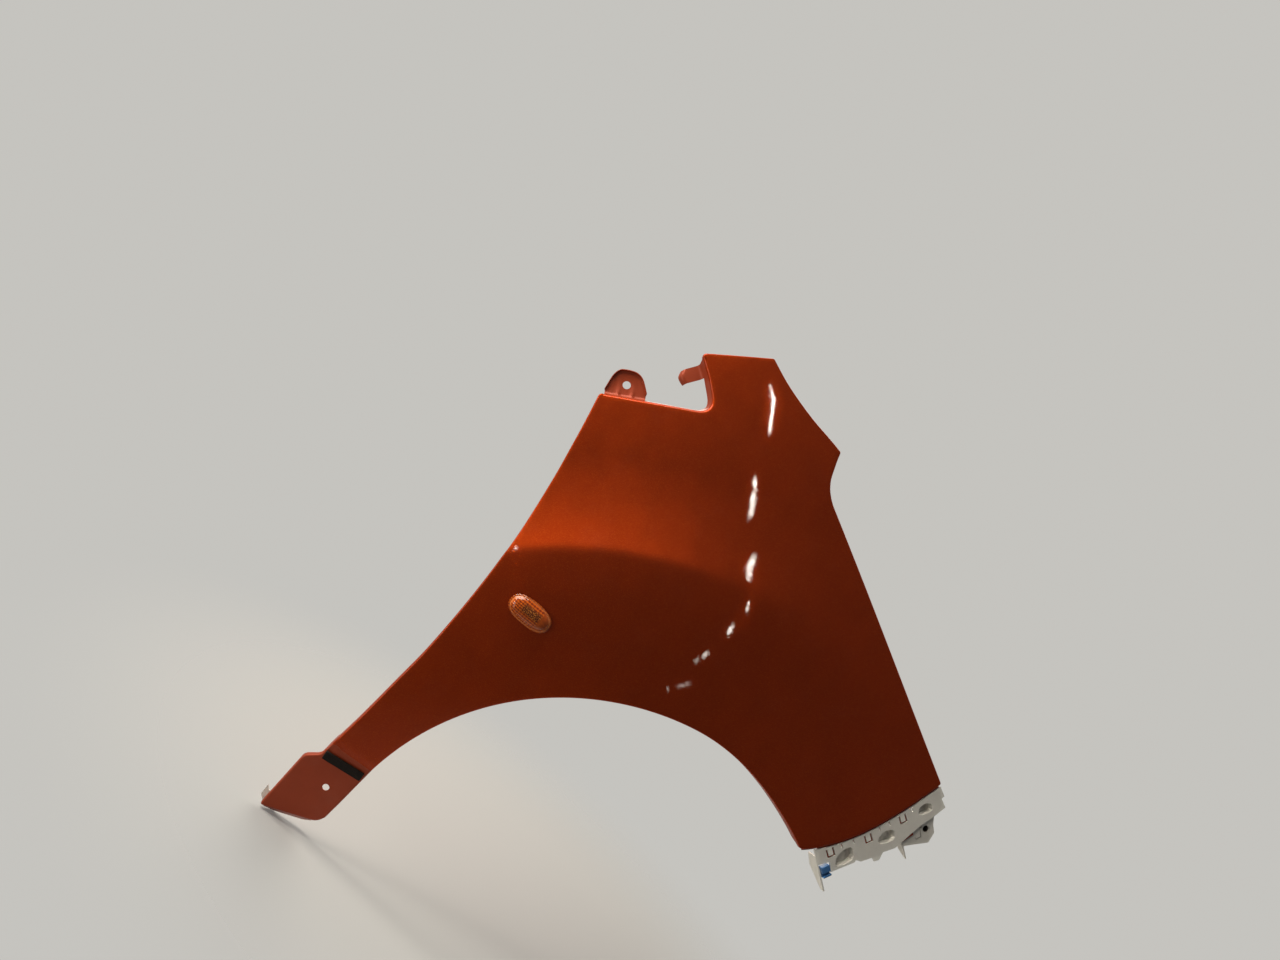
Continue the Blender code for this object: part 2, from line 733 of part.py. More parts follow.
def fold_points(node, normal, surface):
    """The inset point of an outline node, and the points of its folded rows."""
    bend = node["bend"]
    if "tab" in node:
        root, normal, outwards, inwards = tab_frame(node["tab"], surface)
        inset = (node["point"][0] - normal[0] * bend, node["point"][1] - normal[1] * bend)
        start = on_face(surface, inset)
        depth = node["depth"] - (start - root).dot(inwards)
        rows = fold(bend, depth, node["reach"], node.get("lip", 0.0))
    else:
        outwards, inwards = edge_frame(surface, node["point"], normal)
        inset = (node["point"][0] - normal[0] * bend, node["point"][1] - normal[1] * bend)
        start = on_face(surface, inset)
        depth = landing_depth() if node.get("landing") else node["depth"]
        rows = fold(bend, depth, node.get("reach", 0.0))
    return inset, [start + outwards * out + inwards * deep for out, deep in rows]


def ridge_guide():
    """The crest of the flare, so that the mesh has an edge along it."""
    rear = math.degrees(math.acos(-(DOOR_REACH - LEG_WIDTH / 2.0) / RIDGE_RADIUS))
    angles = np.radians(np.linspace(rear, FLARE_FRONT_DEGREES + 15.0, 24))
    return [(RIDGE_RADIUS * math.cos(angle), RIDGE_RADIUS * math.sin(angle)) for angle in angles]


def foot_guides(outline):
    """The lines across the leg where the joggle starts and ends, the lower one joined to the outline."""
    low = [point for point in outline if point[0] < 0.0 and point[1] <= FOOT_TOP]
    rear = max((point for point in low if point[0] < FOOT_MIDDLE), key=lambda point: point[1])
    front = max((point for point in low if point[0] > FOOT_MIDDLE), key=lambda point: point[1])
    quarter = LEG_WIDTH / 4.0
    level = [(FOOT_MIDDLE + step * quarter, FOOT_TOP) for step in (-1.0, 0.0, 1.0)]
    above = [(x, z + JOGGLE_RUN) for x, z in level]
    return [[rear] + level + [front], above]


def oval(half_length, half_width, steps=OVAL_STEPS):
    """The points of an oval with full ends, anticlockwise."""
    points = []
    for step in range(steps):
        angle = 2.0 * math.pi * step / steps
        across, up = math.cos(angle), math.sin(angle)
        x = half_length * math.copysign(abs(across) ** (2.0 / OVAL_POWER), across)
        y = half_width * math.copysign(abs(up) ** (2.0 / OVAL_POWER), up)
        points.append((x, y))
    return points


def circle(centre, radius, steps=12):
    """The points of a circle in the flat, anticlockwise."""
    angles = [2.0 * math.pi * step / steps for step in range(steps)]
    return [(centre[0] + radius * math.cos(angle), centre[1] + radius * math.sin(angle)) for angle in angles]


def start_empty():
    """Empties the scene and makes a collection for the parts and one for the cutters."""
    for item in list(bpy.data.objects):
        bpy.data.objects.remove(item, do_unlink=True)
    parts = bpy.data.collections.new("front_fender")
    cutters = bpy.data.collections.new("cutters")
    cutters.hide_render = True
    for collection in (parts, cutters):
        bpy.context.scene.collection.children.link(collection)
    return parts, cutters


def paint(name, colour, roughness, metallic=0.0, clear=0.0):
    """A plain material."""
    material = bpy.data.materials.new(name)
    material.use_nodes = True
    shader = material.node_tree.nodes["Principled BSDF"]
    shader.inputs["Base Color"].default_value = (*colour, 1.0)
    shader.inputs["Roughness"].default_value = roughness
    shader.inputs["Metallic"].default_value = metallic
    shader.inputs["Transmission Weight"].default_value = clear
    return material


def holder(name, parent, matrix, collection):
    """An empty that carries pieces."""
    empty = bpy.data.objects.new(name, None)
    empty.parent = parent
    empty.matrix_local = matrix
    collection.objects.link(empty)
    return empty


def piece(name, data, parent, material, collection, matrix=None):
    """An object for a mesh, in its carrier's frame."""
    item = bpy.data.objects.new(name, data)
    collection.objects.link(item)
    item.parent = parent
    if matrix:
        item.matrix_local = matrix
    if material:
        data.materials.append(material)
    data.shade_smooth()
    data.set_sharp_from_angle(angle=math.radians(32.0))
    return item


def cutter(name, data, parent, collection, matrix=None):
    """A hidden shape that is cut from a piece or joined to it."""
    item = piece(name, data, parent, None, collection, matrix)
    item.hide_render = True
    item.display_type = "WIRE"
    return item


def boolean(item, tool, operation="DIFFERENCE"):
    """Cuts or joins a tool."""
    modifier = item.modifiers.new(tool.name, "BOOLEAN")
    modifier.operation = operation
    modifier.object = tool


def solidify(item, thickness, offset=-1.0):
    """Gives an open sheet its wall."""
    modifier = item.modifiers.new("wall", "SOLIDIFY")
    modifier.thickness = thickness
    modifier.offset = offset
    modifier.use_even_offset = True
    modifier.use_quality_normals = True


def bevel(item, width, segments=2):
    """Rounds the edges of a block."""
    modifier = item.modifiers.new("edges", "BEVEL")
    modifier.width = width
    modifier.segments = segments
    modifier.limit_method = "ANGLE"


def block(name, length, width, height):
    """A box centred across, standing on its own zero."""
    mesh = bmesh.new()
    bmesh.ops.create_cube(mesh, size=1.0)
    bmesh.ops.translate(mesh, vec=(0.0, 0.0, 0.5), verts=mesh.verts)
    bmesh.ops.scale(mesh, vec=(length, width, height), verts=mesh.verts)
    data = bpy.data.meshes.new(name)
    mesh.to_mesh(data)
    mesh.free()
    return data


def rod(name, radius, length, segments=16):
    """A cylinder along Z, centred."""
    mesh = bmesh.new()
    bmesh.ops.create_cone(mesh, cap_ends=True, segments=segments, radius1=radius, radius2=radius, depth=length)
    data = bpy.data.meshes.new(name)
    mesh.to_mesh(data)
    mesh.free()
    return data


def prism(name, outline, thickness):
    """A flat outline given a thickness on both sides."""
    mesh = bmesh.new()
    base = mesh.faces.new([mesh.verts.new((x, y, -thickness / 2.0)) for x, y in outline])
    top = bmesh.ops.extrude_face_region(mesh, geom=[base])["geom"]
    bmesh.ops.translate(mesh, vec=(0.0, 0.0, thickness), verts=[v for v in top if isinstance(v, bmesh.types.BMVert)])
    bmesh.ops.recalc_face_normals(mesh, faces=mesh.faces)
    data = bpy.data.meshes.new(name)
    mesh.to_mesh(data)
    mesh.free()
    return data


def oval_body(name, section, closed=True, ground=None):
    """A body with oval rings: each ring's half length, half width and height; ground lays a ring on a face."""
    mesh = bmesh.new()
    rings = []
    for half_length, half_width, height in section:
        points = oval(half_length, half_width)
        lift = [ground(*point) if ground and height is None else height for point in points]
        rings.append([mesh.verts.new((x, y, z)) for (x, y), z in zip(points, lift)])
    pairs = list(zip(rings, rings[1:]))
    if closed:
        pairs.append((rings[-1], rings[0]))
    else:
        mesh.faces.new(rings[0])
        mesh.faces.new(rings[-1])
    for lower, upper in pairs:
        for n in range(OVAL_STEPS):
            m = (n + 1) % OVAL_STEPS
            mesh.faces.new((lower[n], lower[m], upper[m], upper[n]))
    bmesh.ops.recalc_face_normals(mesh, faces=mesh.faces)
    data = bpy.data.meshes.new(name)
    mesh.to_mesh(data)
    mesh.free()
    return data


def turned(name, profile, parent, material, collection, steps=20):
    """A body turned about Z from a profile that runs down its outer side."""
    data = bpy.data.meshes.new(name)
    edges = [(n, n + 1) for n in range(len(profile) - 1)]
    data.from_pydata([(radius, 0.0, height) for radius, height in profile], edges, [])
    item = piece(name, data, parent, material, collection)
    screw = item.modifiers.new("turn", "SCREW")
    screw.steps = steps
    screw.render_steps = steps
    screw.use_merge_vertices = True
    screw.merge_threshold = GAP / 10.0
    screw.use_smooth_shade = True
    return item


def make_panel(datum, parts, cutters, colour):
    """The pressed steel panel, with its folds, tabs and holes."""
    nodes = fender_loop()
    relieve(nodes)
    normals = outward_normals([node["point"] for node in nodes])
    folds = [fold_points(node, normal, face) for node, normal in zip(nodes, normals)]
    outline = [inset for inset, rows in folds]
    ledge = RIM_LEDGE + HOUSING_FLANGE - OPENING_CLEARANCE
    opening = oval(LENS_LENGTH / 2.0 - ledge, LENS_WIDTH / 2.0 - ledge)
    opening = [(REPEATER_AHEAD + x, REPEATER_HEIGHT + z) for x, z in opening]
    foot_hole = circle((FOOT_MIDDLE, -FOOT_HOLE_DROP), FOOT_HOLE_RADIUS)
    data = sheet(
        "fender_panel",
        outline,
        face,
        CELL,
        folds=[rows for inset, rows in folds],
        holes=[opening, foot_hole],
        guides=[ridge_guide()] + foot_guides(outline),
    )
    panel = piece("fender_panel", data, datum, colour, parts)
    solidify(panel, SHEET)
    through = SHEET * 2.0 + OVERRUN
    tab = next(node["tab"] for node in nodes if node.get("form") == PILLAR_TAB_FORM_SHARES)
    root, normal, outwards, inwards = tab_frame(tab, face)
    matrix = Matrix((outwards.cross(inwards), outwards, -inwards)).transposed().to_4x4()
    matrix.translation = root + outwards * PILLAR_HOLE_REACH + inwards * PILLAR_TAB_DEPTH
    boolean(panel, cutter("pillar_hole", rod("pillar_hole", PILLAR_HOLE_RADIUS, through), datum, cutters, matrix))
    for order, share in enumerate(HOOD_HOLE_SHARES, 1):
        name = f"hood_hole_{order}"
        matrix = fold_matrix(hood_edge(), share, HOOD_FOLD * HOLE_DEPTH_SHARE)
        boolean(panel, cutter(name, rod(name, HOOD_HOLE_RADIUS, through), datum, cutters, matrix))
    matrix = fold_matrix(foot_base(), BASE_HOLE_SHARE, FOOT_BASE_FOLD * HOLE_DEPTH_SHARE)
    boolean(panel, cutter("base_hole", rod("base_hole", BASE_HOLE_RADIUS, through), datum, cutters, matrix))


def make_foam(datum, parts, colour):
    """The foam strip that lies across the top of the foot."""
    middle = (FOOT_MIDDLE, FOAM_TOP - FOAM_WIDTH / 2.0 - FOAM_SLOPE * LEG_WIDTH / 4.0)
    matrix = face_matrix(face, middle, (1.0, FOAM_SLOPE)) @ Matrix.Translation((0.0, 0.0, GAP))
    data = block("sill_foam_strip", LEG_WIDTH - 2.0 * FOAM_INSET, FOAM_WIDTH, FOAM_THICKNESS)
    bevel(piece("sill_foam_strip", data, datum, colour, parts, matrix), FOAM_THICKNESS / 5.0)


def make_lens(seat, parts, colour):
    """The amber lens: a shallow dome with a rim, hollow behind."""
    half, across = LENS_LENGTH / 2.0, LENS_WIDTH / 2.0
    base = GAP * 2.0 + GASKET_THICKNESS
    top = base + LENS_HEIGHT
    section = [
        (half - LENS_HEIGHT * 2.2, across - LENS_HEIGHT * 1.45, top),
        (half - LENS_HEIGHT * 1.1, across - LENS_HEIGHT * 0.95, top - LENS_HEIGHT * 0.13),
        (half - LENS_HEIGHT * 0.5, across - LENS_HEIGHT * 0.5, top - LENS_HEIGHT * 0.42),
        (half - RIM_LEDGE, across - RIM_LEDGE, base + LENS_RIM * 1.2),
        (half - GAP, across - GAP, base + LENS_RIM),
        (half, across, base),
    ]
    inner = [
        (half - RIM_LEDGE, across - RIM_LEDGE, base),
        (half - RIM_LEDGE, across - RIM_LEDGE, base + HOUSING_FLANGE_THICKNESS),
        (half - LENS_HEIGHT * 0.5 - LENS_WALL, across - LENS_HEIGHT * 0.5 - LENS_WALL, top - LENS_HEIGHT * 0.62),
        (half - LENS_HEIGHT * 1.2 - LENS_WALL, across - LENS_HEIGHT * 1.0 - LENS_WALL, top - LENS_WALL * 1.9),
        (half - LENS_HEIGHT * 2.2 - LENS_WALL, across - LENS_HEIGHT * 1.25 - LENS_WALL, top - LENS_WALL * 1.2),
    ]
    piece("repeater_lens", oval_body("repeater_lens", section + inner, closed=False), seat, colour, parts)


def make_gasket(seat, parts, colour):
    """The rubber ring between the lens rim and the panel, which follows the panel's curve."""
    half, across = LENS_LENGTH / 2.0 - GAP, LENS_WIDTH / 2.0 - GAP
    top = GAP + GASKET_THICKNESS
    inverse = seat.matrix_local.inverted()

    def ground(x, y):
        place = seat.matrix_local @ Vector((x, y, 0.0))
        return (inverse @ on_face(face, (place.x, place.z))).z + GAP

    section = [
        (half - GASKET_WIDTH, across - GASKET_WIDTH, None),
        (half, across, None),
        (half, across, top),
        (half - GASKET_WIDTH, across - GASKET_WIDTH, top),
    ]
    piece("repeater_gasket", oval_body("repeater_gasket", section, ground=ground), seat, colour, parts)


def make_housing(seat, parts, cutters, colour):
    """The cup behind the lens, with its front flange and the bore for the bulb holder."""
    half = LENS_LENGTH / 2.0 - RIM_LEDGE - GAP
    across = LENS_WIDTH / 2.0 - RIM_LEDGE - GAP
    cup, cup_across = half - HOUSING_FLANGE, across - HOUSING_FLANGE
    front = GAP + HOUSING_FLANGE_THICKNESS
    section = [
        (cup, cup_across, GAP),
        (half, across, GAP),
        (half, across, front),
        (cup - HOUSING_WALL, cup_across - HOUSING_WALL, front),
        (cup - HOUSING_WALL * 1.6, cup_across - HOUSING_WALL * 1.4, HOUSING_WALL - HOUSING_DEPTH),
    ]
    floor = [(cup_across - 2.0 * HOUSING_WALL, cup_across - 2.0 * HOUSING_WALL, HOUSING_WALL - HOUSING_DEPTH)]
    back = [
        (cup_across - 2.0 * HOUSING_WALL, cup_across - 2.0 * HOUSING_WALL, -HOUSING_DEPTH),
        (cup - HOUSING_WALL * 0.6, cup_across - HOUSING_WALL * 0.4, -HOUSING_DEPTH),
    ]
    data = oval_body("repeater_housing", section + floor + back)
    housing = piece("repeater_housing", data, seat, colour, parts)
    bore = rod("holder_bore", HOLDER_BORE, 2.0 * OVERRUN + HOUSING_WALL, segments=20)
    drop = Matrix.Translation((0.0, 0.0, -HOUSING_DEPTH))
    boolean(housing, cutter("holder_bore", bore, seat, cutters, drop))


def make_bulb_holder(seat, parts, cutters, colour):
    """The twist-in bulb holder with its plug shroud, hollow for the wedge and the contacts."""
    back = -HOUSING_DEPTH - GAP
    top = back + HOLDER_PLUG_LENGTH
    shelf = back - HOLDER_FLANGE_THICKNESS
    end = shelf - HOLDER_BODY_LENGTH
    profile = [
        (0.0, top),
        (HOLDER_PLUG_RADIUS, top),
        (HOLDER_PLUG_RADIUS, back),
        (HOLDER_FLANGE_RADIUS, back),
        (HOLDER_FLANGE_RADIUS, shelf),
        (HOLDER_PLUG_RADIUS, shelf),
        (HOLDER_PLUG_RADIUS, end),
        (0.0, end),
    ]
    body = turned("repeater_bulb_holder", profile, seat, colour, parts)
    shroud = block("plug_shroud", SHROUD_LENGTH, SHROUD_WIDTH, SHROUD_DEPTH)
    low = Matrix.Translation((0.0, 0.0, end - SHROUD_DEPTH + SHROUD_WALL))
    boolean(body, cutter("plug_shroud", shroud, seat, cutters, low), "UNION")
    hollow = block(
        "plug_hollow", SHROUD_LENGTH - 2.0 * SHROUD_WALL, SHROUD_WIDTH - 2.0 * SHROUD_WALL, SHROUD_DEPTH + OVERRUN
    )
    lower = Matrix.Translation((0.0, 0.0, end - SHROUD_DEPTH - OVERRUN))
    boolean(body, cutter("plug_hollow", hollow, seat, cutters, lower))
    slot_width = WEDGE_THICKNESS + 2.0 * CONTACT_THICKNESS + 4.0 * GAP
    slot = block("wedge_slot", WEDGE_WIDTH + 2.0 * GAP, slot_width, WEDGE_DEPTH + GAP + OVERRUN)
    seat_height = Matrix.Translation((0.0, 0.0, top - WEDGE_DEPTH - GAP))
    boolean(body, cutter("wedge_slot", slot, seat, cutters, seat_height))
    aside = (WEDGE_THICKNESS + CONTACT_THICKNESS) / 2.0 + GAP
    for side, name in ((-1.0, "lower"), (1.0, "upper")):
        groove = block(f"contact_groove_{name}", CONTACT_WIDTH + 2.0 * GAP, CONTACT_THICKNESS + 2.0 * GAP, CONTACT_LENGTH)
        groove_place = Matrix.Translation((0.0, side * aside, end - OVERRUN))
        boolean(body, cutter(f"contact_groove_{name}", groove, seat, cutters, groove_place))


def make_contacts(seat, parts, brass):
    """The two brass strips beside the bulb's wedge, which run back into the plug shroud."""
    top = -HOUSING_DEPTH - GAP + HOLDER_PLUG_LENGTH
    aside = (WEDGE_THICKNESS + CONTACT_THICKNESS) / 2.0 + GAP
    for side, name in ((-1.0, "lower"), (1.0, "upper")):
        data = block(f"repeater_contact_{name}", CONTACT_WIDTH, CONTACT_THICKNESS, CONTACT_LENGTH)
        place = Matrix.Translation((0.0, side * aside, top - CONTACT_LENGTH))
        piece(f"repeater_contact_{name}", data, seat, brass, parts, place)


def make_bulb(seat, parts, cutters, glass):
    """The capless bulb, with its flat wedge."""
    base = -HOUSING_DEPTH + HOLDER_PLUG_LENGTH + GAP
    tip = base + BULB_LENGTH
    profile = [
        (0.0, tip),
        (BULB_RADIUS * 0.55, tip - BULB_RADIUS * 0.15),
        (BULB_RADIUS * 0.90, tip - BULB_RADIUS * 0.55),
        (BULB_RADIUS, tip - BULB_RADIUS * 1.1),
        (BULB_RADIUS, base + BULB_RADIUS * 0.8),
        (BULB_RADIUS * 0.70, base),
        (0.0, base),
    ]
    bulb = turned("repeater_bulb", profile, seat, glass, parts, steps=16)
    wedge = block("bulb_wedge", WEDGE_WIDTH, WEDGE_THICKNESS, WEDGE_DEPTH + BULB_RADIUS)
    place = Matrix.Translation((0.0, 0.0, base - WEDGE_DEPTH))
    boolean(bulb, cutter("bulb_wedge", wedge, seat, cutters, place), "UNION")


def make_spring_clip(seat, parts, steel):
    """The bent spring strip at the rear end of the housing, which grips behind the panel."""
    near = -(LENS_LENGTH / 2.0 - RIM_LEDGE - HOUSING_FLANGE)
    low = -HOUSING_WALL - CLIP_LENGTH
    high = -SHEET - 2.0 * GAP - CLIP_STRIP
    path = [
        (near, high - CLIP_SPREAD * 0.3),
        (near, low + CLIP_STRIP),
        (near - CLIP_SPREAD * 0.25, low),
        (near - CLIP_SPREAD, high - CLIP_SPREAD * 0.6),
        (near - CLIP_SPREAD * 0.8, high),
    ]
    mesh = bmesh.new()
    rows = [[mesh.verts.new((x, side * CLIP_WIDTH / 2.0, z)) for side in (-1.0, 1.0)] for x, z in path]
    for here, there in zip(rows, rows[1:]):
        mesh.faces.new((here[0], here[1], there[1], there[0]))
    data = bpy.data.meshes.new("repeater_spring_clip")
    mesh.to_mesh(data)
    mesh.free()
    clip = piece("repeater_spring_clip", data, seat, steel, parts)
    solidify(clip, CLIP_STRIP, offset=0.0)


def make_repeater(datum, parts, cutters, colours):
    """The side repeater, seated square to the panel."""
    turn = math.radians(REPEATER_TURN_DEGREES)
    matrix = face_matrix(face, (REPEATER_AHEAD, REPEATER_HEIGHT), (math.cos(turn), math.sin(turn)))
    seat = holder("repeater_seat", datum, matrix, parts)
    make_lens(seat, parts, colours["amber"])
    make_gasket(seat, parts, colours["rubber"])
    make_housing(seat, parts, cutters, colours["grey_plastic"])
    make_bulb_holder(seat, parts, cutters, colours["black_plastic"])
    make_contacts(seat, parts, colours["brass"])
    make_bulb(seat, parts, cutters, colours["glass"])
    make_spring_clip(seat, parts, colours["spring_steel"])


def set_in(depth):
    """The outer face moved inwards, square to itself."""

    def surface(x, z):
        along, up = slopes(face, x, z)
        return face(x, z) + depth * np.sqrt(1.0 + along**2 + up**2)

    return surface


def beyond_edge(share, drop):
    """A point at a share of the bumper edge's length and a distance out from its chord."""
    start = arch_point(ARCH_FRONT_DEGREES)
    x, z = between(start, (FRONT_REACH, FRONT_HEIGHT), share)
    out_x, out_z = bumper_outwards()
    return x + out_x * drop, z + out_z * drop


# Stands a flat outline on edge: its X runs down the drop, its Y out of the face
ON_EDGE = Matrix(((0.0, 0.0, 1.0, 0.0), (-1.0, 0.0, 0.0, 0.0), (0.0, 1.0, 0.0, 0.0), (0.0, 0.0, 0.0, 1.0)))


def bracket_matrix(share, drop, depth):
    """A frame on the bracket's level: X along the bumper edge, Y towards the panel, Z out of the face."""
    out_x, out_z = bumper_outwards()
    return face_matrix(set_in(depth), beyond_edge(share, drop), (-out_z, out_x))


def softened(points):
    """A closed outline with its corners cut."""
    cut = []
    for here, there in zip(points, points[1:] + points[:1]):
        cut += [between(here, there, CORNER_CUT_SHARE), between(there, here, CORNER_CUT_SHARE)]
    return cut


def pocket(shares):
    """The rim and the floor outline of a moulded pocket."""
    rim = softened([beyond_edge(share, drop * BRACKET_DROP) for share, drop in shares])
    centre = tuple(np.mean(rim, axis=0))
    size = np.mean([math.dist(point, centre) for point in rim])
    return rim, [between(point, centre, POCKET_TAPER / size) for point in rim]


def snap_slot(share):
    """The outline of the narrow slot round a snap finger that points away from the panel."""
    length = math.dist(beyond_edge(0.0, 0.0), beyond_edge(1.0, 0.0))
    half, narrow = SNAP_WIDTH / 2.0, SNAP_WIDTH / 2.0 - SNAP_SLOT
    root = math.dist(bumper_edge(share), beyond_edge(share, 0.0)) + EDGE_BEND + 2.0 * GAP + SNAP_SLOT
    tip = root + SNAP_LENGTH
    corners = [(-half, root), (-half, tip), (half, tip), (half, root)]
    corners += [(narrow, root), (narrow, tip - SNAP_SLOT), (-narrow, tip - SNAP_SLOT), (-narrow, root)]
    return [beyond_edge(share + side / length, drop) for side, drop in corners]


def make_bracket(datum, parts, cutters, colour):
    """The moulded bumper bracket: a plate beyond the panel's edge with pockets, snap slots and a side fin."""
    out_x, out_z = bumper_outwards()
    start, end = BRACKET_OUTLINE_SHARES[0][0], BRACKET_OUTLINE_SHARES[-1][0]
    away = EDGE_BEND + 2.0 * GAP
    inner = [bumper_edge(share) for share in np.linspace(end, start, 12)]
    inner = [(x + out_x * away, z + out_z * away) for x, z in inner]
    outer = [beyond_edge(share, drop * BRACKET_DROP) for share, drop in BRACKET_OUTLINE_SHARES]
    data = sheet(
        "bumper_bracket",
        outer + inner,
        set_in(BRACKET_SET),
        BRACKET_CELL,
        holes=[snap_slot(share) for share in SNAP_SHARES],
        pockets=[pocket(shares) for shares in (ARCHED_POCKET_SHARES, SQUARE_POCKET_SHARES, TALL_POCKET_SHARES)],
    )
    bracket = piece("bumper_bracket", data, datum, colour, parts)
    solidify(bracket, BRACKET_WALL)
    top = BRACKET_DROP / 3.0
    outline = [
        (0.0, 0.0),
        (SIDE_FIN_DROP - top, 0.0),
        (SIDE_FIN_DROP - top - BRACKET_WALL, -SIDE_FIN_DEPTH / 3.0),
        (top, -SIDE_FIN_DEPTH),
        (0.0, -SIDE_FIN_DEPTH * 0.8),
    ]
    matrix = bracket_matrix(start, top, BRACKET_SET + GAP) @ ON_EDGE
    boolean(bracket, cutter("side_fin", prism("side_fin", outline, SIDE_FIN_WALL), datum, cutters, matrix), "UNION")


def make_lower_bracket(datum, parts, cutters, colour):
    """The smaller bracket behind the panel's landing tab, with its socket hole, slot and fin."""
    level = landing_depth() + SHEET + 2.0 * GAP
    first = BRACKET_DROP - LOWER_DROP / 2.0

    def spot(share, drop):
        return beyond_edge(share, first + drop * LOWER_DROP)

    outline = [spot(share, drop) for share, drop in LOWER_OUTLINE_SHARES]
    slot = [spot(share, drop) for share, drop in LOWER_SLOT_SHARES]
    socket = circle(spot(*LOWER_HOLE_SHARES), LOWER_HOLE_RADIUS)
    square = circle(spot(*LOWER_CROSS_SHARES), LOWER_CROSS_RADIUS, 4)
    holes = [slot, socket, square]
    data = sheet("bumper_bracket_lower", outline, set_in(level), BRACKET_CELL, holes=holes)
    bracket = piece("bumper_bracket_lower", data, datum, colour, parts)
    solidify(bracket, LOWER_WALL)
    fin = [(0.0, 0.0), (LOWER_FIN_DROP, 0.0), (LOWER_FIN_DROP * 0.6, -LOWER_FIN_DEPTH), (0.0, -LOWER_FIN_DEPTH)]
    seat = bracket_matrix(LOWER_OUTLINE_SHARES[0][0], first + LOWER_DROP * 0.35, level + GAP)
    matrix = seat @ Matrix.Translation((LOWER_WALL, 0.0, 0.0)) @ ON_EDGE
    boolean(bracket, cutter("lower_fin", prism("lower_fin", fin, LOWER_WALL), datum, cutters, matrix), "UNION")


def clip_length():
    """The clip's length: the room from the side fin to the step in the bracket's outline, less its clearances."""
    start = arch_point(ARCH_FRONT_DEGREES)
    fin, step = BRACKET_OUTLINE_SHARES[0][0], BRACKET_OUTLINE_SHARES[2][0]
    room = math.dist(start, (FRONT_REACH, FRONT_HEIGHT)) * (step - fin)
    return room - SIDE_FIN_WALL / 2.0 - CLIP_BLOCK_SEAT - CLIP_BLOCK_CLEARANCE


def make_bracket_clip(datum, parts, cutters, colour):
    """The blue clip in the lower corner of the bracket, slotted over its edge."""
    length = clip_length()
    top = BRACKET_OUTLINE_SHARES[1][1] * BRACKET_DROP + 2.0 * CLIP_BLOCK_SEAT
    beside = (SIDE_FIN_WALL + length) / 2.0 + CLIP_BLOCK_SEAT
    shift = Matrix.Translation((beside, -CLIP_BLOCK_DROP / 2.0, -CLIP_BLOCK_DEPTH / 2.0))
    matrix = bracket_matrix(BRACKET_OUTLINE_SHARES[0][0], top, BRACKET_SET) @ shift
    data = block("bracket_clip", length, CLIP_BLOCK_DROP, CLIP_BLOCK_DEPTH)
    clip = piece("bracket_clip", data, datum, colour, parts, matrix)
    slot = block("clip_slot", length + OVERRUN, CLIP_BLOCK_SLOT, CLIP_BLOCK_DEPTH)
    low = matrix @ Matrix.Translation((0.0, -CLIP_BLOCK_DROP / 5.0, CLIP_BLOCK_DEPTH * 0.55))
    boolean(clip, cutter("clip_slot", slot, datum, cutters, low))
    bevel(clip, CLIP_BLOCK_EDGE)


def make_sill_clip(datum, parts, cutters, colour):
    """The small moulded clip behind the rear corner of the foot, whose fin shows past the edge."""
    x, z = placed((FOOT_REAR_SHARES,), DOOR_REACH, FOOT_DROP)[0]
    level = FOOT_SIDE_FOLD + 2.0 * GAP + SILL_CLIP_WALL / 2.0
    matrix = face_matrix(set_in(level), (x, z + SILL_CLIP_RISE), (1.0, 0.0))
    outline = [
        (-SILL_CLIP_LENGTH / 2.0, -SILL_CLIP_RISE * 0.2),
        (0.0, -SILL_CLIP_RISE * 0.6),
        (SILL_CLIP_LENGTH, -SILL_CLIP_RISE * 0.5),
        (SILL_CLIP_LENGTH, SILL_CLIP_RISE * 0.2),
        (-SILL_CLIP_LENGTH * 0.2, SILL_CLIP_RISE * 0.4),
        (-SILL_CLIP_LENGTH / 2.0, SILL_CLIP_RISE * 0.7),
    ]
    clip = piece("sill_clip", prism("sill_clip", outline, SILL_CLIP_WALL), datum, colour, parts, matrix)
    post_height = level - SHEET - GAP
    post = block("sill_clip_post", SILL_CLIP_LENGTH / 3.0, SILL_CLIP_RISE / 3.0, post_height)
    place = matrix @ Matrix.Translation((SILL_CLIP_LENGTH * 0.6, -SILL_CLIP_RISE * 0.1, 0.0))
    boolean(clip, cutter("sill_clip_post", post, datum, cutters, place), "UNION")


def main():
    """Builds every piece on the wheel centre, with the seat of the foot at the origin."""
    parts, cutters = start_empty()
    colours = {
        "panel": paint("burnt_orange_paint", (0.33, 0.035, 0.006), 0.22, 0.55),
        "foam": paint("black_foam", (0.012, 0.010, 0.009), 0.95),
        "amber": paint("amber_lens", (0.85, 0.20, 0.01), 0.08, clear=0.7),
        "rubber": paint("black_rubber", (0.015, 0.015, 0.015), 0.8),
        "grey_plastic": paint("grey_plastic", (0.38, 0.36, 0.32), 0.6),
        "black_plastic": paint("black_plastic", (0.02, 0.02, 0.02), 0.5),
        "blue": paint("blue_plastic", (0.05, 0.16, 0.38), 0.5),
        "brass": paint("brass", (0.60, 0.42, 0.16), 0.3, 1.0),
        "glass": paint("bulb_glass", (0.95, 0.60, 0.25), 0.02, clear=0.9),
        "spring_steel": paint("spring_steel", (0.45, 0.45, 0.46), 0.35, 1.0),
    }
    below_hole = (FOOT_MIDDLE, -FOOT_MOUNT_DROP)
    inwards = edge_frame(face, below_hole, (1.0, 0.0))[1]
    foot_seat = on_face(face, below_hole) + inwards * SHEET
    datum = holder("wheel_centre", None, Matrix.Translation(-foot_seat), parts)
    make_panel(datum, parts, cutters, colours["panel"])
    make_foam(datum, parts, colours["foam"])
    make_repeater(datum, parts, cutters, colours)
    make_bracket(datum, parts, cutters, colours["grey_plastic"])
    make_lower_bracket(datum, parts, cutters, colours["grey_plastic"])
    make_bracket_clip(datum, parts, cutters, colours["blue"])
    make_sill_clip(datum, parts, cutters, colours["grey_plastic"])


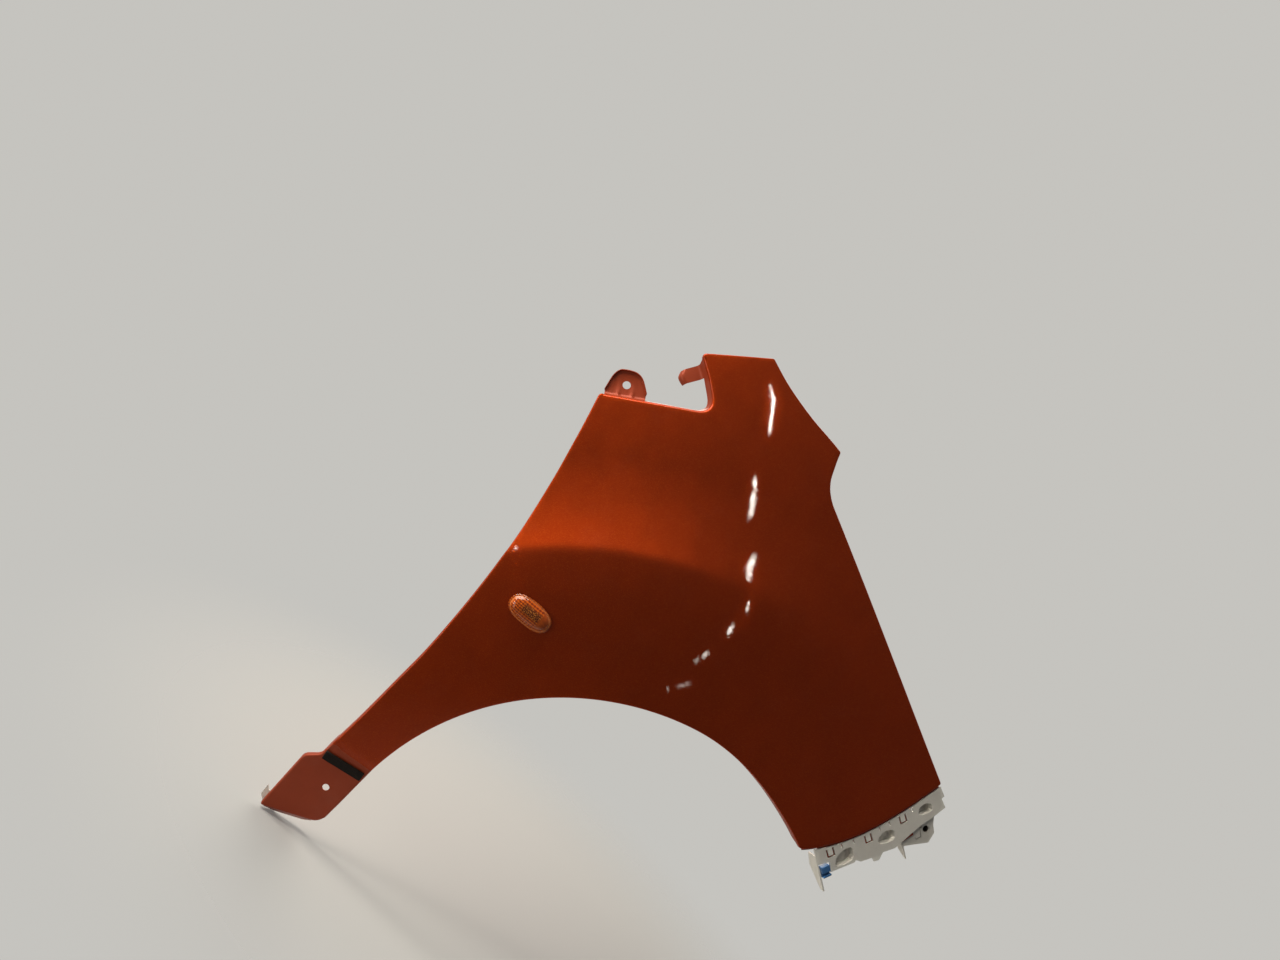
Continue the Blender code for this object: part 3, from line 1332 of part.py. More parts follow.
main()
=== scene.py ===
"""Looks of the right-hand front fender: fine meshes for what shows, procedural finishes, camera and light.

The fine meshes are drawn in the wheel centre's frame, +X to the front of the car, -Y outwards, +Z up, and set
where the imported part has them, with the seat of the foot at the origin.
"""

import math

import bmesh
import bpy
import numpy as np
from mathutils import Matrix, Vector
from mathutils.geometry import delaunay_2d_cdt


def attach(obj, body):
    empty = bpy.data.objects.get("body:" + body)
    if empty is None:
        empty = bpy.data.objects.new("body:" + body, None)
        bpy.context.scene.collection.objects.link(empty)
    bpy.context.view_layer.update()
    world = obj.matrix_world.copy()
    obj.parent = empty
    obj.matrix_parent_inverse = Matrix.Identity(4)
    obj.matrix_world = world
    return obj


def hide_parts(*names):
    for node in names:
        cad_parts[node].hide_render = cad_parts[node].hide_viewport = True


# Fineness of the meshes
FINE_CELL = 0.0042
BRACKET_FINE_CELL = 0.0040
ARCH_POINTS = 90
BUMPER_POINTS = 40
BRACKET_EDGE_POINTS = 12
CURVE_STEPS = 6
BEND_STEPS = 5
CORNER_STEPS = 8
FORM_STEPS = 5
OVAL_STEPS = 96
OPENING_STEPS = 64
HOLE_STEPS = 32
CUP_STEPS = 16
FLOOR_STEPS = 96
FLUTE_COLUMNS = 60
FLUTE_STEPS = 6
SHARP_DEGREES = 32.0
RIDGE_LINES = (-0.012, -0.008, -0.004, 0.0, 0.004, 0.008, 0.012)

# Sheet, gaps and margins
SHEET = 0.0009
GAP = 0.0003
OVERRUN = 0.004
TOLERANCE = 0.0000001
SLIVER_SHARE = 0.0002
LATTICE_MARGIN_SHARE = 0.62
CORNER_CUT_SHARE = 0.22
POCKET_MARGIN_SHARE = 0.01
BEND_MARGIN_SHARE = 0.3
LONGEST_CORNER_SHARE = 0.7

# Outline, measured from the wheel centre
ARCH_RADIUS = 0.346
ARCH_TIGHTENING = 0.008
ARCH_TIGHTENING_START_DEGREES = 99.2
ARCH_TIGHTENING_DEGREES = 30.0
ARCH_FRONT_DEGREES = 62.3
LEG_WIDTH = 0.058
FRONT_REACH = 0.285
FRONT_HEIGHT = 0.478
TOP_HEIGHT = 0.7834
FOOT_DROP = 0.0768
BUMPER_BOW = 0.016
BUMPER_BOW_POWER = 0.8
DOOR_REACH = ARCH_RADIUS + LEG_WIDTH

# Shape of the outer face
LEAN_DEGREES = 39.0
WRAP_START = -0.060
WRAP_END = 0.400
WRAP_SLOPE = 0.42
CROWN_START = 0.450
CROWN_RADIUS = 1.40
TUCK_START = 0.300
TUCK_RADIUS = 2.50
RIDGE_RADIUS = 0.534
FLARE_HEIGHT = 0.026
FLARE_CURVE = 0.900
FLARE_FADE = 0.120
FLARE_FRONT_DEGREES = 65.0
FLARE_FULL_DEGREES = 120.0
RIDGE_SHARPNESS = 0.004
RIDGE_SOFTENING = 0.022
RIDGE_GUIDE_END_DEGREES = 71.0

# Rear foot: a flat seat set inwards by a joggle
FOOT_TOP = 0.045
FOOT_JOGGLE = 0.003
JOGGLE_RUN = 0.010
FOOT_HOLE_RADIUS = 0.0044
FOOT_HOLE_DROP = 0.007
FOOT_MOUNT_DROP = 0.030
DIMPLE_PLACE = (-0.404, 0.038)
DIMPLE_RADIUS = 0.0055
DIMPLE_DEPTH = 0.0012

# Folded edges
EDGE_BEND = 0.0022
NOTCH_BEND = 0.0042
DOOR_FOLD = 0.012
ARCH_FOLD = 0.013
HOOD_FOLD = 0.020
HOOD_END_FOLD = 0.015
NOTCH_FOLD = 0.013
FOOT_SIDE_FOLD = 0.007
FOOT_BASE_FOLD = 0.013
CORNER_RELIEF = 0.014
NOTCH_CORNER = 0.0266
TIGHT_CORNER = 3.0 * SHEET
ARCH_CORNER = 4.0 * SHEET
DOOR_CORNER = 5.0 * SHEET
SHOULDER_CORNER = 6.0 * SHEET
HEEL_CORNER = 9.0 * SHEET
TOE_CORNER = 2.0 * SHEET
LEAST_FOLD = 0.0065
NOTCH_LEAN = 0.36
BASE_LEAN = 0.95

# Tabs that grow from the folds
PILLAR_TAB_DEPTH = 0.011
PILLAR_TAB_REACH = 0.033
PILLAR_HOLE_RADIUS = 0.0054
PILLAR_HOLE_REACH = 0.019
HOOK_DEPTH = 0.017
HOOK_REACH = 0.021
HOOK_LIP = 0.008
LANDING_REACH = 0.006
LANDING_STEP_REACHES = (0.001, 0.019, 0.0085, 0.019, 0.0085)
LANDING_TAB_REACH = 0.042
HOOD_HOLE_RADIUS = 0.0040
HOOD_HOLE_SHARES = (0.16, 0.50, 0.84)
BASE_HOLE_RADIUS = 0.0022
BASE_HOLE_SHARE = 0.42
HOLE_DEPTH_SHARE = 0.58
TAB_RIM = 0.0034
TAB_RIM_SHARE = 0.30
TAB_RIM_STEP_SHARES = (0.0, 0.35, 0.7, 1.0)
TAB_CRIMP_SHARES = (0.34, 0.68)
TAB_CRIMP_WIDTH_SHARE = 0.05
TAB_CRIMP_DEPTH = 0.0022
TAB_CRIMP_FADE_SHARE = 0.25

# Side repeater, in its own frame: length along the car, +Z out of the panel
REPEATER_AHEAD = -0.313
REPEATER_HEIGHT = 0.331
REPEATER_TURN_DEGREES = -1.5
OVAL_POWER = 2.5
LENS_LENGTH = 0.060
LENS_WIDTH = 0.032
LENS_HEIGHT = 0.0085
LENS_WALL = 0.0016
LENS_RIM = 0.0014
RIM_LEDGE = 0.0022
GASKET_THICKNESS = 0.0007
HOUSING_FLANGE = 0.0020
HOUSING_FLANGE_THICKNESS = 0.0010
OPENING_CLEARANCE = 0.0009
FLUTE_COUNT = 12
FLUTE_DEPTH = 0.0005
FLUTE_PITCH = 0.0022
# Painted light on the lens: the window's painted shade and glints, the ribs' painted light and shade, and the
# rim's painted highlight band
WINDOW_PLACE = (0.001, 0.0028)
WINDOW_HALF = (0.0160, 0.0072)
WINDOW_CORE_SHARES = (0.6, 0.5)
RIB_PITCH = 0.0031
CROSS_RIB_PITCH_SHARE = 1.4
RIB_END = 0.013
RIM_BAND_SHARES = (0.66, 0.74, 0.84, 0.92)

# Rings of the lens: how far each lies in from the lens's length and width and down from its top, in lens
# heights, but inside the way down is in walls. A step of the rim is how far in, and how far up in rims.
LENS_TIP_SHARES = (0.3, 0.1)
LENS_DOME_SHARES = (
    (2.2, 1.45, 0.02), (1.5, 1.20, 0.07), (1.0, 0.92, 0.17), (0.66, 0.64, 0.33), (0.44, 0.44, 0.55),
)
LENS_RIM_STEPS = (
    (1.2 * RIM_LEDGE, 1.5), (RIM_LEDGE, 1.15), (2.0 * GAP, 1.0), (0.0, 0.6), (0.0, 0.0), (RIM_LEDGE, 0.0),
)
LENS_HOLLOW_SHARES = ((0.6, 0.6, 3.29375), (1.2, 1.0, 1.9), (2.2, 1.25, 1.2))
FLUTE_INSET_SHARES = (1.3, 1.1)
FLUTE_LIFT_SHARE = 0.16
FLUTE_LEAST_SHARE = 0.45

# Bumper corner bracket, along the bumper edge and outwards from it
BRACKET_SET = 0.0016
BRACKET_WALL = 0.0022
BRACKET_DROP = 0.055
POCKET_DEPTH = 0.009
POCKET_TAPER = 0.0017
SNAP_WIDTH = 0.0115
SNAP_LENGTH = 0.012
SNAP_SLOT = 0.0025
TICK_WIDTH = 0.0019
TICK_LENGTH = 0.0058
SIDE_FIN_DROP = 0.068
SIDE_FIN_DEPTH = 0.022
SIDE_FIN_WALL = 0.0022
SIDE_FIN_END_SHARE = 0.8
LOWER_WALL = 0.0022
LOWER_DROP = 0.036
LOWER_HOLE_RADIUS = 0.0050
LOWER_CROSS_RADIUS = 0.0026
LOWER_FIN_DROP = 0.030
LOWER_FIN_DEPTH = 0.012
LOWER_FIN_PLACE_SHARE = 0.35
LOWER_FIN_TIP_SHARE = 0.6
SOCKET_WALL = 0.0014
SOCKET_DEPTH = 0.013
SOCKET_BORE_SHARE = 0.94
BOX_DEPTH = 0.009
BOX_OPENING_SHARE = 0.9
# Painted shade inside the lower bracket's cups: its roughness, and which faces of a cup take it
CUP_ROUGHNESS = 0.7
CUP_SHAPE_SHARE = 0.8
CUP_MOUTH_SHARE = 1.02
CUP_NORMAL_LIMIT = 0.5

# Outline points as shares of the reach and of the height that carries them
KINK_SHARES = (-0.238, 0.873)
KINK_STEP_SHARES = ((-0.259, 0.886), (-0.277, 0.901), (-0.288, 0.918), (-0.298, 0.935))
SHOULDER_TIP_SHARES = (-0.304, 0.949)
HOOD_END_SHARES = ((-0.356, 0.954), (-0.443, 0.961), (-0.525, 0.971), (-0.599, 0.983))
TOP_TIP_SHARES = (-0.676, 1.0)
NOTCH_TIP_SHARES = (-0.874, 0.924)
NOTCH_SIDE_SHARES = ((-0.807, 0.900),)
NOTCH_CORNER_SHARES = (-0.716, 0.858)
DOOR_TOP_SHARES = (-1.044, 0.763)
DOOR_EDGE_SHARES = (
    (-1.022, 0.712), (-1.002, 0.659), (-0.983, 0.604), (-0.958, 0.512), (-0.948, 0.440),
    (-0.946, 0.360), (-0.951, 0.274), (-0.963, 0.207), (-0.981, 0.115),
)
DOOR_FOOT_SHARES = (-1.004, 0.0315)
FOOT_SHOULDER_SHARES = (-1.044, 0.150)
FOOT_REAR_SHARES = (-1.057, -1.0)
FOOT_BASE_SHARES = (-0.884, -0.69)
FOOT_TOE_SHARES = (1.017, -0.55)
FOOT_FRONT_SHARES = (1.008, -0.20)
PILLAR_TAB_SHARES = (0.608, 0.96)
PILLAR_TAB_FORM_SHARES = (0.30, 0.84, 1.05, 1.11, 1.12, 1.08, 0.82, 0.22)
HOOK_SHARES = (0.14, 0.37)
HOOK_FORM_SHARES = (0.75, 1.0, 1.0, 0.90)
LANDING_TAB_SHARES = (0.63, 0.71)
LANDING_SLANT_SHARE = 0.012
LANDING_STEP_SHARES = (0.0, 0.135, 0.222, 0.392, 0.475)

# Bracket places as shares of the bumper edge's length and of the drop of the bracket that carries them
BRACKET_OUTLINE_SHARES = (
    (0.080, 0.56), (0.155, 0.61), (0.145, 0.86), (0.306, 0.90), (0.318, 0.86), (0.346, 0.95),
    (0.424, 0.99), (0.430, 1.10), (0.463, 1.12), (0.500, 0.98), (0.584, 1.02), (0.774, 0.79),
    (0.911, 0.69), (0.986, 0.62), (0.975, 0.36), (0.998, 0.33), (0.990, 0.13),
)
POCKET_SHARES = (
    ((0.180, 0.79), (0.205, 0.56), (0.262, 0.47), (0.320, 0.50), (0.312, 0.80), (0.250, 0.84)),
    ((0.492, 0.60), (0.540, 0.49), (0.612, 0.56), (0.600, 0.80), (0.538, 0.81), (0.488, 0.74)),
    ((0.796, 0.53), (0.806, 0.33), (0.856, 0.28), (0.902, 0.37), (0.892, 0.56)),
)
SNAP_SHARES = (0.175, 0.432, 0.685)
TICK_SHARES = (0.255, 0.335, 0.520, 0.590, 0.760)
LOWER_OUTLINE_SHARES = (
    (0.635, 0.00), (0.905, 0.00), (0.879, 0.40), (0.872, 0.72), (0.815, 0.98), (0.676, 0.72), (0.635, 0.66),
)
LOWER_HOLE_SHARES = (0.822, 0.43)
LOWER_CROSS_SHARES = (0.790, 0.26)
LOWER_SLOT_SHARES = (
    (0.735, 0.52), (0.744, 0.60), (0.772, 0.60), (0.780, 0.34), (0.786, 0.34), (0.779, 0.66), (0.738, 0.66),
)
BOX_SHARES = ((0.722, 0.20), (0.722, 0.74), (0.797, 0.74), (0.797, 0.20))

# Stands a flat outline on edge: its X runs down the drop, its Y out of the face
ON_EDGE = Matrix(((0.0, 0.0, 1.0, 0.0), (-1.0, 0.0, 0.0, 0.0), (0.0, 1.0, 0.0, 0.0), (0.0, 0.0, 0.0, 1.0)))

# Colours, in linear light
PAINT_DEEP = (0.34, 0.031, 0.0020)
PAINT_WARM = (0.43, 0.042, 0.0028)
PAINT_GRAZING = (0.80, 0.42, 0.25)
PAINT_FLAKE = (0.85, 0.17, 0.02)
SATIN_DEEP = (0.300, 0.043, 0.012)
SATIN_WARM = (0.400, 0.056, 0.015)
DUST = (0.46, 0.40, 0.34)
GREY_PLASTIC = (0.76, 0.73, 0.66)
LOWER_GREY = (0.68, 0.65, 0.58)
# Painted shade for the inside of the lower bracket's cups
CUP_PAINTED_SHADE = (0.035, 0.024, 0.018)
# Colour of the grey plastic in its hollows and creases
HOLLOW_DARK = (0.16, 0.14, 0.11)
AMBER = (0.74, 0.135, 0.005)
AMBER_DEEP = (0.26, 0.030, 0.001)
# Painted shade of the lens's window, painted glints in it, and a painted highlight round the rim
AMBER_WINDOW_SHADE = (0.10, 0.018, 0.003)
AMBER_PAINTED_GLINT = (0.80, 0.26, 0.04)
AMBER_RIM_HIGHLIGHT = (0.86, 0.25, 0.07)
AMBER_GLOW = (1.0, 0.42, 0.06)
FOAM_DEEP = (0.008, 0.006, 0.005)
FOAM_WORN = (0.020, 0.014, 0.010)
HOLDER_BLACK = (0.020, 0.020, 0.021)
RUBBER_BLACK = (0.016, 0.016, 0.016)
HOUSING_GREY = (0.40, 0.38, 0.35)
BRASS = (0.72, 0.50, 0.20)
CLIP_STEEL = (0.50, 0.50, 0.52)
CLIP_BLUE = (0.045, 0.155, 0.375)
BULB_DEEP = (0.9, 0.45, 0.12)
BULB_PALE = (1.0, 0.62, 0.25)
FLOOR_PALE = (0.50, 0.50, 0.49)
BACKDROP = (0.56, 0.55, 0.52)
WARM = (1.0, 0.93, 0.82)

# Camera
PHOTO_WIDTH = 1280.0
PHOTO_HEIGHT = 960.0
FOCAL_PIXELS = 1000.0
SENSOR_WIDTH = 36.0
CAMERA_PLACE = (-0.311, -1.25, 0.543)
OBJECT_MIDDLE = (0.30, 0.05, 0.38)
CLOSEST_SEEN = 0.01
FACE_TRIES = 12

# Light of the surroundings, and how far up the view and behind the part it changes
WORLD_LOW = 0.24
WORLD_HIGH = 0.42
WORLD_FRONT_SHARE = 0.41
WORLD_UP_RANGE = (-0.6, 0.9)
WORLD_BEHIND_RANGE = (-0.05, 0.40)

# Floor
FLOOR_RADIUS = 0.85
FLOOR_FADE_SHARES = (0.30, 0.98)
FLOOR_LEVEL = -0.0495
FLOOR_BACK = 0.28

# Lamps: place to the right, above and behind what they face, size, power, and reach where they are narrow
CORNER_PIXEL = (885.0, 825.0)
LAMPS = (
    ("overhead", (-0.3, 1.9, -0.4), (2.2, 0.9), 47.0, 0.0),
    ("beside", (-1.75, 0.5, -1.15), (0.8, 1.6), 12.0, 0.0),
    ("corner", (-0.2, 1.2, -0.9), (0.5, 0.5), 42.0, 0.14),
    ("behind", (0.4, 0.9, 1.8), (1.8, 1.4), 26.0, 0.0),
)

# Streaks of light on the paint: the pixels where each starts and ends, and its strength
LAMP_DISTANCE = 0.40
LAMP_WIDTH = 0.0060
STREAK_GAIN = 1.9
STREAK_STEP = 9.0
STREAK_OVERLAP = 0.40
STREAK_REACH_SHARE = 0.60
STREAK_MARGIN = 0.003
STREAKS = (
    ((770.0, 384.0), (774.5, 406.0), 40.0), ((774.5, 396.0), (769.0, 435.0), 45.0),
    ((755.5, 476.0), (750.5, 519.0), 42.0), ((751.5, 556.0), (749.5, 583.0), 40.0),
    ((750.0, 598.0), (745.5, 616.0), 30.0), ((734.0, 624.0), (727.0, 636.0), 30.0),
    ((709.0, 651.0), (702.0, 658.0), 24.0), ((698.5, 659.0), (695.0, 663.0), 22.0),
    ((692.0, 682.0), (675.0, 688.0), 7.0), ((669.0, 687.0), (667.0, 692.0), 8.0),
    ((520.0, 543.0), (512.0, 551.0), 70.0), ((518.0, 550.0), (510.5, 550.5), 70.0),
    ((515.0, 539.0), (511.0, 549.0), 70.0),
)


def smooth(value):
    """A share from 0 to 1 with level ends."""
    share = np.clip(value, 0.0, 1.0)
    return share * share * (3.0 - 2.0 * share)


def wrap(along):
    """How far the face has curved inwards on its way round to the front of the car."""
    run = WRAP_END - WRAP_START
    share = np.clip((along - WRAP_START) / run, 0.0, 1.0)
    return WRAP_SLOPE * (run * (share**3 - share**4 / 2.0) + np.maximum(0.0, along - WRAP_END))


def flare(x, z):
    """How far the wheel-arch flare stands out: a ridge at one radius, falling away to both sides."""
    radius = np.hypot(x, z)
    degrees = np.degrees(np.arctan2(z, x))
    strength = smooth((degrees - FLARE_FRONT_DEGREES) / (FLARE_FULL_DEGREES - FLARE_FRONT_DEGREES))
    rounding = RIDGE_SHARPNESS + RIDGE_SOFTENING * (1.0 - strength)
    past = radius - RIDGE_RADIUS
    beyond = (past + np.sqrt(past**2 + rounding**2)) / 2.0
    within = beyond - past
    fade = np.clip(1.0 - beyond / FLARE_FADE, 0.0, 1.0)
    return strength * (FLARE_HEIGHT * fade**2 - within**2 / (2.0 * FLARE_CURVE))


def skin(x, z):
    """The outer face before the foot is set in: its place across the car."""
    lean = math.radians(LEAN_DEGREES)
    along = x * math.cos(lean) + z * math.sin(lean)
    up = z * math.cos(lean) - x * math.sin(lean)
    crown = np.maximum(0.0, up - CROWN_START) ** 2 / (2.0 * CROWN_RADIUS)
    tuck = np.maximum(0.0, TUCK_START - z) ** 2 / (2.0 * TUCK_RADIUS)
    return wrap(along) + crown + tuck - flare(x, z)


def slopes(surface, x, z):
    """How a face leans at a point, along the car and upwards."""
    step = SHEET
    along = (surface(x + step, z) - surface(x - step, z)) / (2.0 * step)
    up = (surface(x, z + step) - surface(x, z - step)) / (2.0 * step)
    return along, up


FOOT_MIDDLE = -(ARCH_RADIUS + LEG_WIDTH / 2.0)
FOOT_SLOPES = slopes(skin, FOOT_MIDDLE, FOOT_TOP)


def face(x, z):
    """The whole outer face: the skin, brought into the flat of the foot."""
    flat = skin(FOOT_MIDDLE, FOOT_TOP) + FOOT_JOGGLE
    flat = flat + FOOT_SLOPES[0] * (x - FOOT_MIDDLE) + FOOT_SLOPES[1] * (z - FOOT_TOP)
    share = smooth((FOOT_TOP + JOGGLE_RUN - z) / JOGGLE_RUN)
    return skin(x, z) * (1.0 - share) + flat * share


def placed(shares, across, up):
    """Points from shares of a reach along the car and of a height."""
    return [(share_x * across, share_z * up) for share_x, share_z in shares]


def arch_point(degrees):
    """A point of the wheel arch, which tightens a little towards the bumper."""
    front = smooth((ARCH_TIGHTENING_START_DEGREES - degrees) / ARCH_TIGHTENING_DEGREES)
    radius = ARCH_RADIUS - ARCH_TIGHTENING * float(front)
    angle = math.radians(degrees)
    return radius * math.cos(angle), radius * math.sin(angle)


def between(first, last, share):
    """The point at a share of the way from one point to another."""
    return tuple(a + (b - a) * share for a, b in zip(first, last))


def curve_through(points, steps=CURVE_STEPS):
    """A smooth run through points, as a Catmull-Rom spline."""
    padded = np.array([points[0], *points, points[-1]])
    run = []
    for before, start, end, after in zip(padded, padded[1:], padded[2:], padded[3:]):
        lean = end - before
        bow = 2.0 * before - 5.0 * start + 4.0 * end - after
        twist = 3.0 * start - before - 3.0 * end + after
        for share in np.arange(steps) / steps:
            run.append(tuple(start + (lean * share + bow * share**2 + twist * share**3) / 2.0))
    return run + [points[-1]]


def lengths(points):
    """How far along a run each of its points lies."""
    steps = [math.dist(a, b) for a, b in zip(points, points[1:])]
    return np.concatenate(([0.0], np.cumsum(steps)))


def spaced(points, cell, least):
    """A run divided into equal steps of about one cell."""
    along = lengths(points)
    count = max(least, round(along[-1] / cell))
    at = np.linspace(0.0, along[-1], count + 1)
    pairs = np.array(points)
    return list(zip(np.interp(at, along, pairs[:, 0]), np.interp(at, along, pairs[:, 1])))


def cut_run(points, start, end):
    """A run without a length at its start and at its end."""
    along = lengths(points)
    stop = along[-1] - end
    x, z = np.array(points).T
    first, last = ((np.interp(at, along, x), np.interp(at, along, z)) for at in (start, stop))
    return [first] + [point for point, at in zip(points, along) if start < at < stop] + [last]


def rounded(before, corner, after, steps):
    """The points between two runs, as a curve that turns the corner."""
    points = []
    for share in np.arange(1, steps) / steps:
        points.append(between(between(before, corner, share), between(corner, after, share), share))
    return points


def bumper_ends():
    """The ends of the joint with the bumper: at the arch, and at the front corner."""
    return arch_point(ARCH_FRONT_DEGREES), (FRONT_REACH, FRONT_HEIGHT)


def out_of(start, end):
    """The direction out of the panel, square to a run of its outline from start to end."""
    length = math.dist(start, end)
    return (end[1] - start[1]) / length, -(end[0] - start[0]) / length


def beyond_edge(share, drop):
    """A point at a share of the bumper edge's length and a distance out from its chord."""
    x, z = between(*bumper_ends(), share)
    out_x, out_z = out_of(*bumper_ends())
    return x + out_x * drop, z + out_z * drop


def bumper_edge(share):
    """A point of the joint with the bumper, from the arch to the front corner."""
    return beyond_edge(share, BUMPER_BOW * math.sin(math.pi * share**BUMPER_BOW_POWER))


def fold(bend, depth, reach=0.0, lip=0.0):
    """The rows of a folded edge, each as its distance outwards and inwards from where the bend starts."""
    turns = [math.pi / 2.0 * step / BEND_STEPS for step in range(1, BEND_STEPS + 1)]
    rows = [(bend * math.sin(turn), bend * (1.0 - math.cos(turn))) for turn in turns]
    if not reach:
        return rows + [(bend, depth)]
    rows.append((bend, depth - bend))
    rows += [(2.0 * bend - bend * math.cos(turn), depth - bend + bend * math.sin(turn)) for turn in turns]
    rows.append((bend + reach, depth))
    if lip:
        start = bend + reach
        rows += [(start + bend * math.sin(turn), depth + bend * (1.0 - math.cos(turn))) for turn in turns]
        rows.append((start + bend, depth + lip))
    return rows


def inside(points, polygon):
    """Which points lie inside a polygon."""
    x, z = np.asarray(points, dtype=float).T
    within = np.zeros(len(x), dtype=bool)
    for (x0, z0), (x1, z1) in zip(polygon, polygon[1:] + polygon[:1]):
        if z0 == z1:
            continue
        crossing = x0 + (z - z0) * (x1 - x0) / (z1 - z0)
        within ^= ((z0 > z) != (z1 > z)) & (x < crossing)
    return within


def clear_of(points, loops, distance):
    """Which points keep a distance from every edge of some loops."""
    points = np.asarray(points, dtype=float)
    clear = np.ones(len(points), dtype=bool)
    for loop in loops:
        for start, end in zip(loop, loop[1:]):
            start, run = np.array(start), np.subtract(end, start)
            share = np.clip((points - start) @ run / max(run @ run, TOLERANCE**2), 0.0, 1.0)
            nearest = start + share[:, None] * run
            clear &= np.hypot(*(points - nearest).T) > distance
    return clear


def lattice(outline, cell):
    """Points of a triangular lattice over an outline."""
    low, high = np.min(outline, axis=0), np.max(outline, axis=0)
    rise = cell * math.sqrt(3.0) / 2.0
    rows = range(int((high[1] - low[1]) / rise) + 1)
    columns = range(int((high[0] - low[0]) / cell) + 2)
    places = [(column + row % 2 / 2.0, row) for row in rows for column in columns]
    return [(low[0] + across * cell, low[1] + row * rise) for across, row in places]


def outward_normals(loop):
    """The outward direction in the flat at each point of an anticlockwise loop, longer at a corner."""
    points = np.array(loop)
    ahead = np.roll(points, -1, axis=0) - points
    ahead /= np.linalg.norm(ahead, axis=1)[:, None]
    behind = np.roll(ahead, 1, axis=0)
    middle = ahead + behind
    middle /= np.linalg.norm(middle, axis=1)[:, None]
    reach = 1.0 / np.maximum((middle * ahead).sum(axis=1), LONGEST_CORNER_SHARE)
    return [(z * r, -x * r) for (x, z), r in zip(middle, reach)]


def on_face(surface, point):
    """A point of the flat, lifted to a face."""
    x, z = point
    return Vector((x, float(surface(x, z)), z))


def edge_frame(surface, point, normal):
    """The directions out of an edge along the face, and inwards square to the face."""
    along, up = slopes(surface, *point)
    outwards = Vector((normal[0], along * normal[0] + up * normal[1], normal[1]))
    inwards = Vector((-along, 1.0, -up))
    return outwards.normalized(), inwards.normalized()


def frame_of(first, second, third, place):
    """A frame from its three directions and its place."""
    matrix = Matrix((first, second, third)).transposed().to_4x4()
    matrix.translation = place
    return matrix


def face_matrix(surface, point, direction):
    """A frame on a face: X along a direction, Z out of the face."""
    sideways, inwards = edge_frame(surface, point, direction)
    out = -inwards
    return frame_of(sideways, out.cross(sideways), out, on_face(surface, point))


def as_data(name, mesh):
    """The finished data of a drawn mesh."""
    data = bpy.data.meshes.new(name)
    mesh.to_mesh(data)
    mesh.free()
    return data


def new_item(name, data, matrix):
    """A new object in the scene, at its place."""
    item = bpy.data.objects.new(name, data)
    bpy.context.scene.collection.objects.link(item)
    item.matrix_world = matrix
    return item


def sheet(name, outline, surface, cell, folds=None, holes=(), guides=(), pockets=()):
    """An open mesh over an outline, pressed to a face, with folded edge rows, holes and pockets."""
    loops = [outline + outline[:1]] + [hole + hole[:1] for hole in holes]
    loops += [list(guide) for guide in guides]
    for rim, floor in pockets:
        loops += [rim + rim[:1], floor + floor[:1]]
    spots = np.array(lattice(outline, cell))
    spots = spots[inside(spots, outline) & clear_of(spots, loops, LATTICE_MARGIN_SHARE * cell)]
    for hole in holes:
        spots = spots[~inside(spots, hole)]
    flat, edges = [], []
    for loop in loops:
        closed = loop[0] == loop[-1]
        first = len(flat)
        flat += loop[:-1] if closed else loop
        edges += [(n, n + 1) for n in range(first, len(flat) - 1)]
        if closed:
            edges.append((len(flat) - 1, first))
    flat += [tuple(spot) for spot in spots]
    result = delaunay_2d_cdt([Vector(point) for point in flat], edges, [], 0, TOLERANCE)
    corners, faces, sources = result[0], result[2], result[3]
    number = {old: new for new, old_ones in enumerate(sources) for old in old_ones}
    places = np.array([tuple(corner) for corner in corners])
    centres = places[np.array(faces)].mean(axis=1)
    kept = inside(centres, outline)
    for hole in holes:
        kept &= ~inside(centres, hole)
    drops = np.zeros(len(places))
    for rim, floor in pockets:
        widened = [between(point, np.mean(floor, axis=0), -POCKET_MARGIN_SHARE) for point in floor]
        drops[inside(places, widened)] = POCKET_DEPTH
    mesh = bmesh.new()
    verts = []
    for place, drop in zip(places, drops):
        point = on_face(surface, place)
        if drop:
            point += edge_frame(surface, place, (1.0, 0.0))[1] * drop
        verts.append(mesh.verts.new(point))
    for keep, corner in zip(kept, faces):
        if keep:
            a, b, c = (places[n] for n in corner)
            turn = (b[0] - a[0]) * (c[1] - a[1]) - (b[1] - a[1]) * (c[0] - a[0])
            if abs(turn) < SLIVER_SHARE * cell**2:
                continue
            order = corner if turn > 0.0 else corner[::-1]
            mesh.faces.new([verts[n] for n in order])
    if folds:
        rows = [[verts[number[n]], *map(mesh.verts.new, points)] for n, points in enumerate(folds)]
        for here, there in zip(rows, rows[1:] + rows[:1]):
            for row in range(1, min(len(here), len(there))):
                made = mesh.faces.new((there[row - 1], here[row - 1], here[row], there[row]))
                made.material_index = int(row > BEND_STEPS)
    bmesh.ops.delete(mesh, geom=[vert for vert in mesh.verts if not vert.link_faces], context="VERTS")
    return as_data(name, mesh)


def split(points, start, end):
    """The part of a run between two shares of its length."""
    length = lengths(points)[-1]
    return cut_run(points, start * length, (1.0 - end) * length)


def edge(points, depth, corner=0.0, bend=EDGE_BEND, **more):
    """One run of the fender's outline, with its fold and the corner that ends it."""
    return {"points": points, "depth": depth, "corner": corner, "bend": bend, "relief": False} | more


def upper(*shares):
    """Points of the outline from their shares of the reach to the door and of the height."""
    return placed(shares, DOOR_REACH, TOP_HEIGHT)


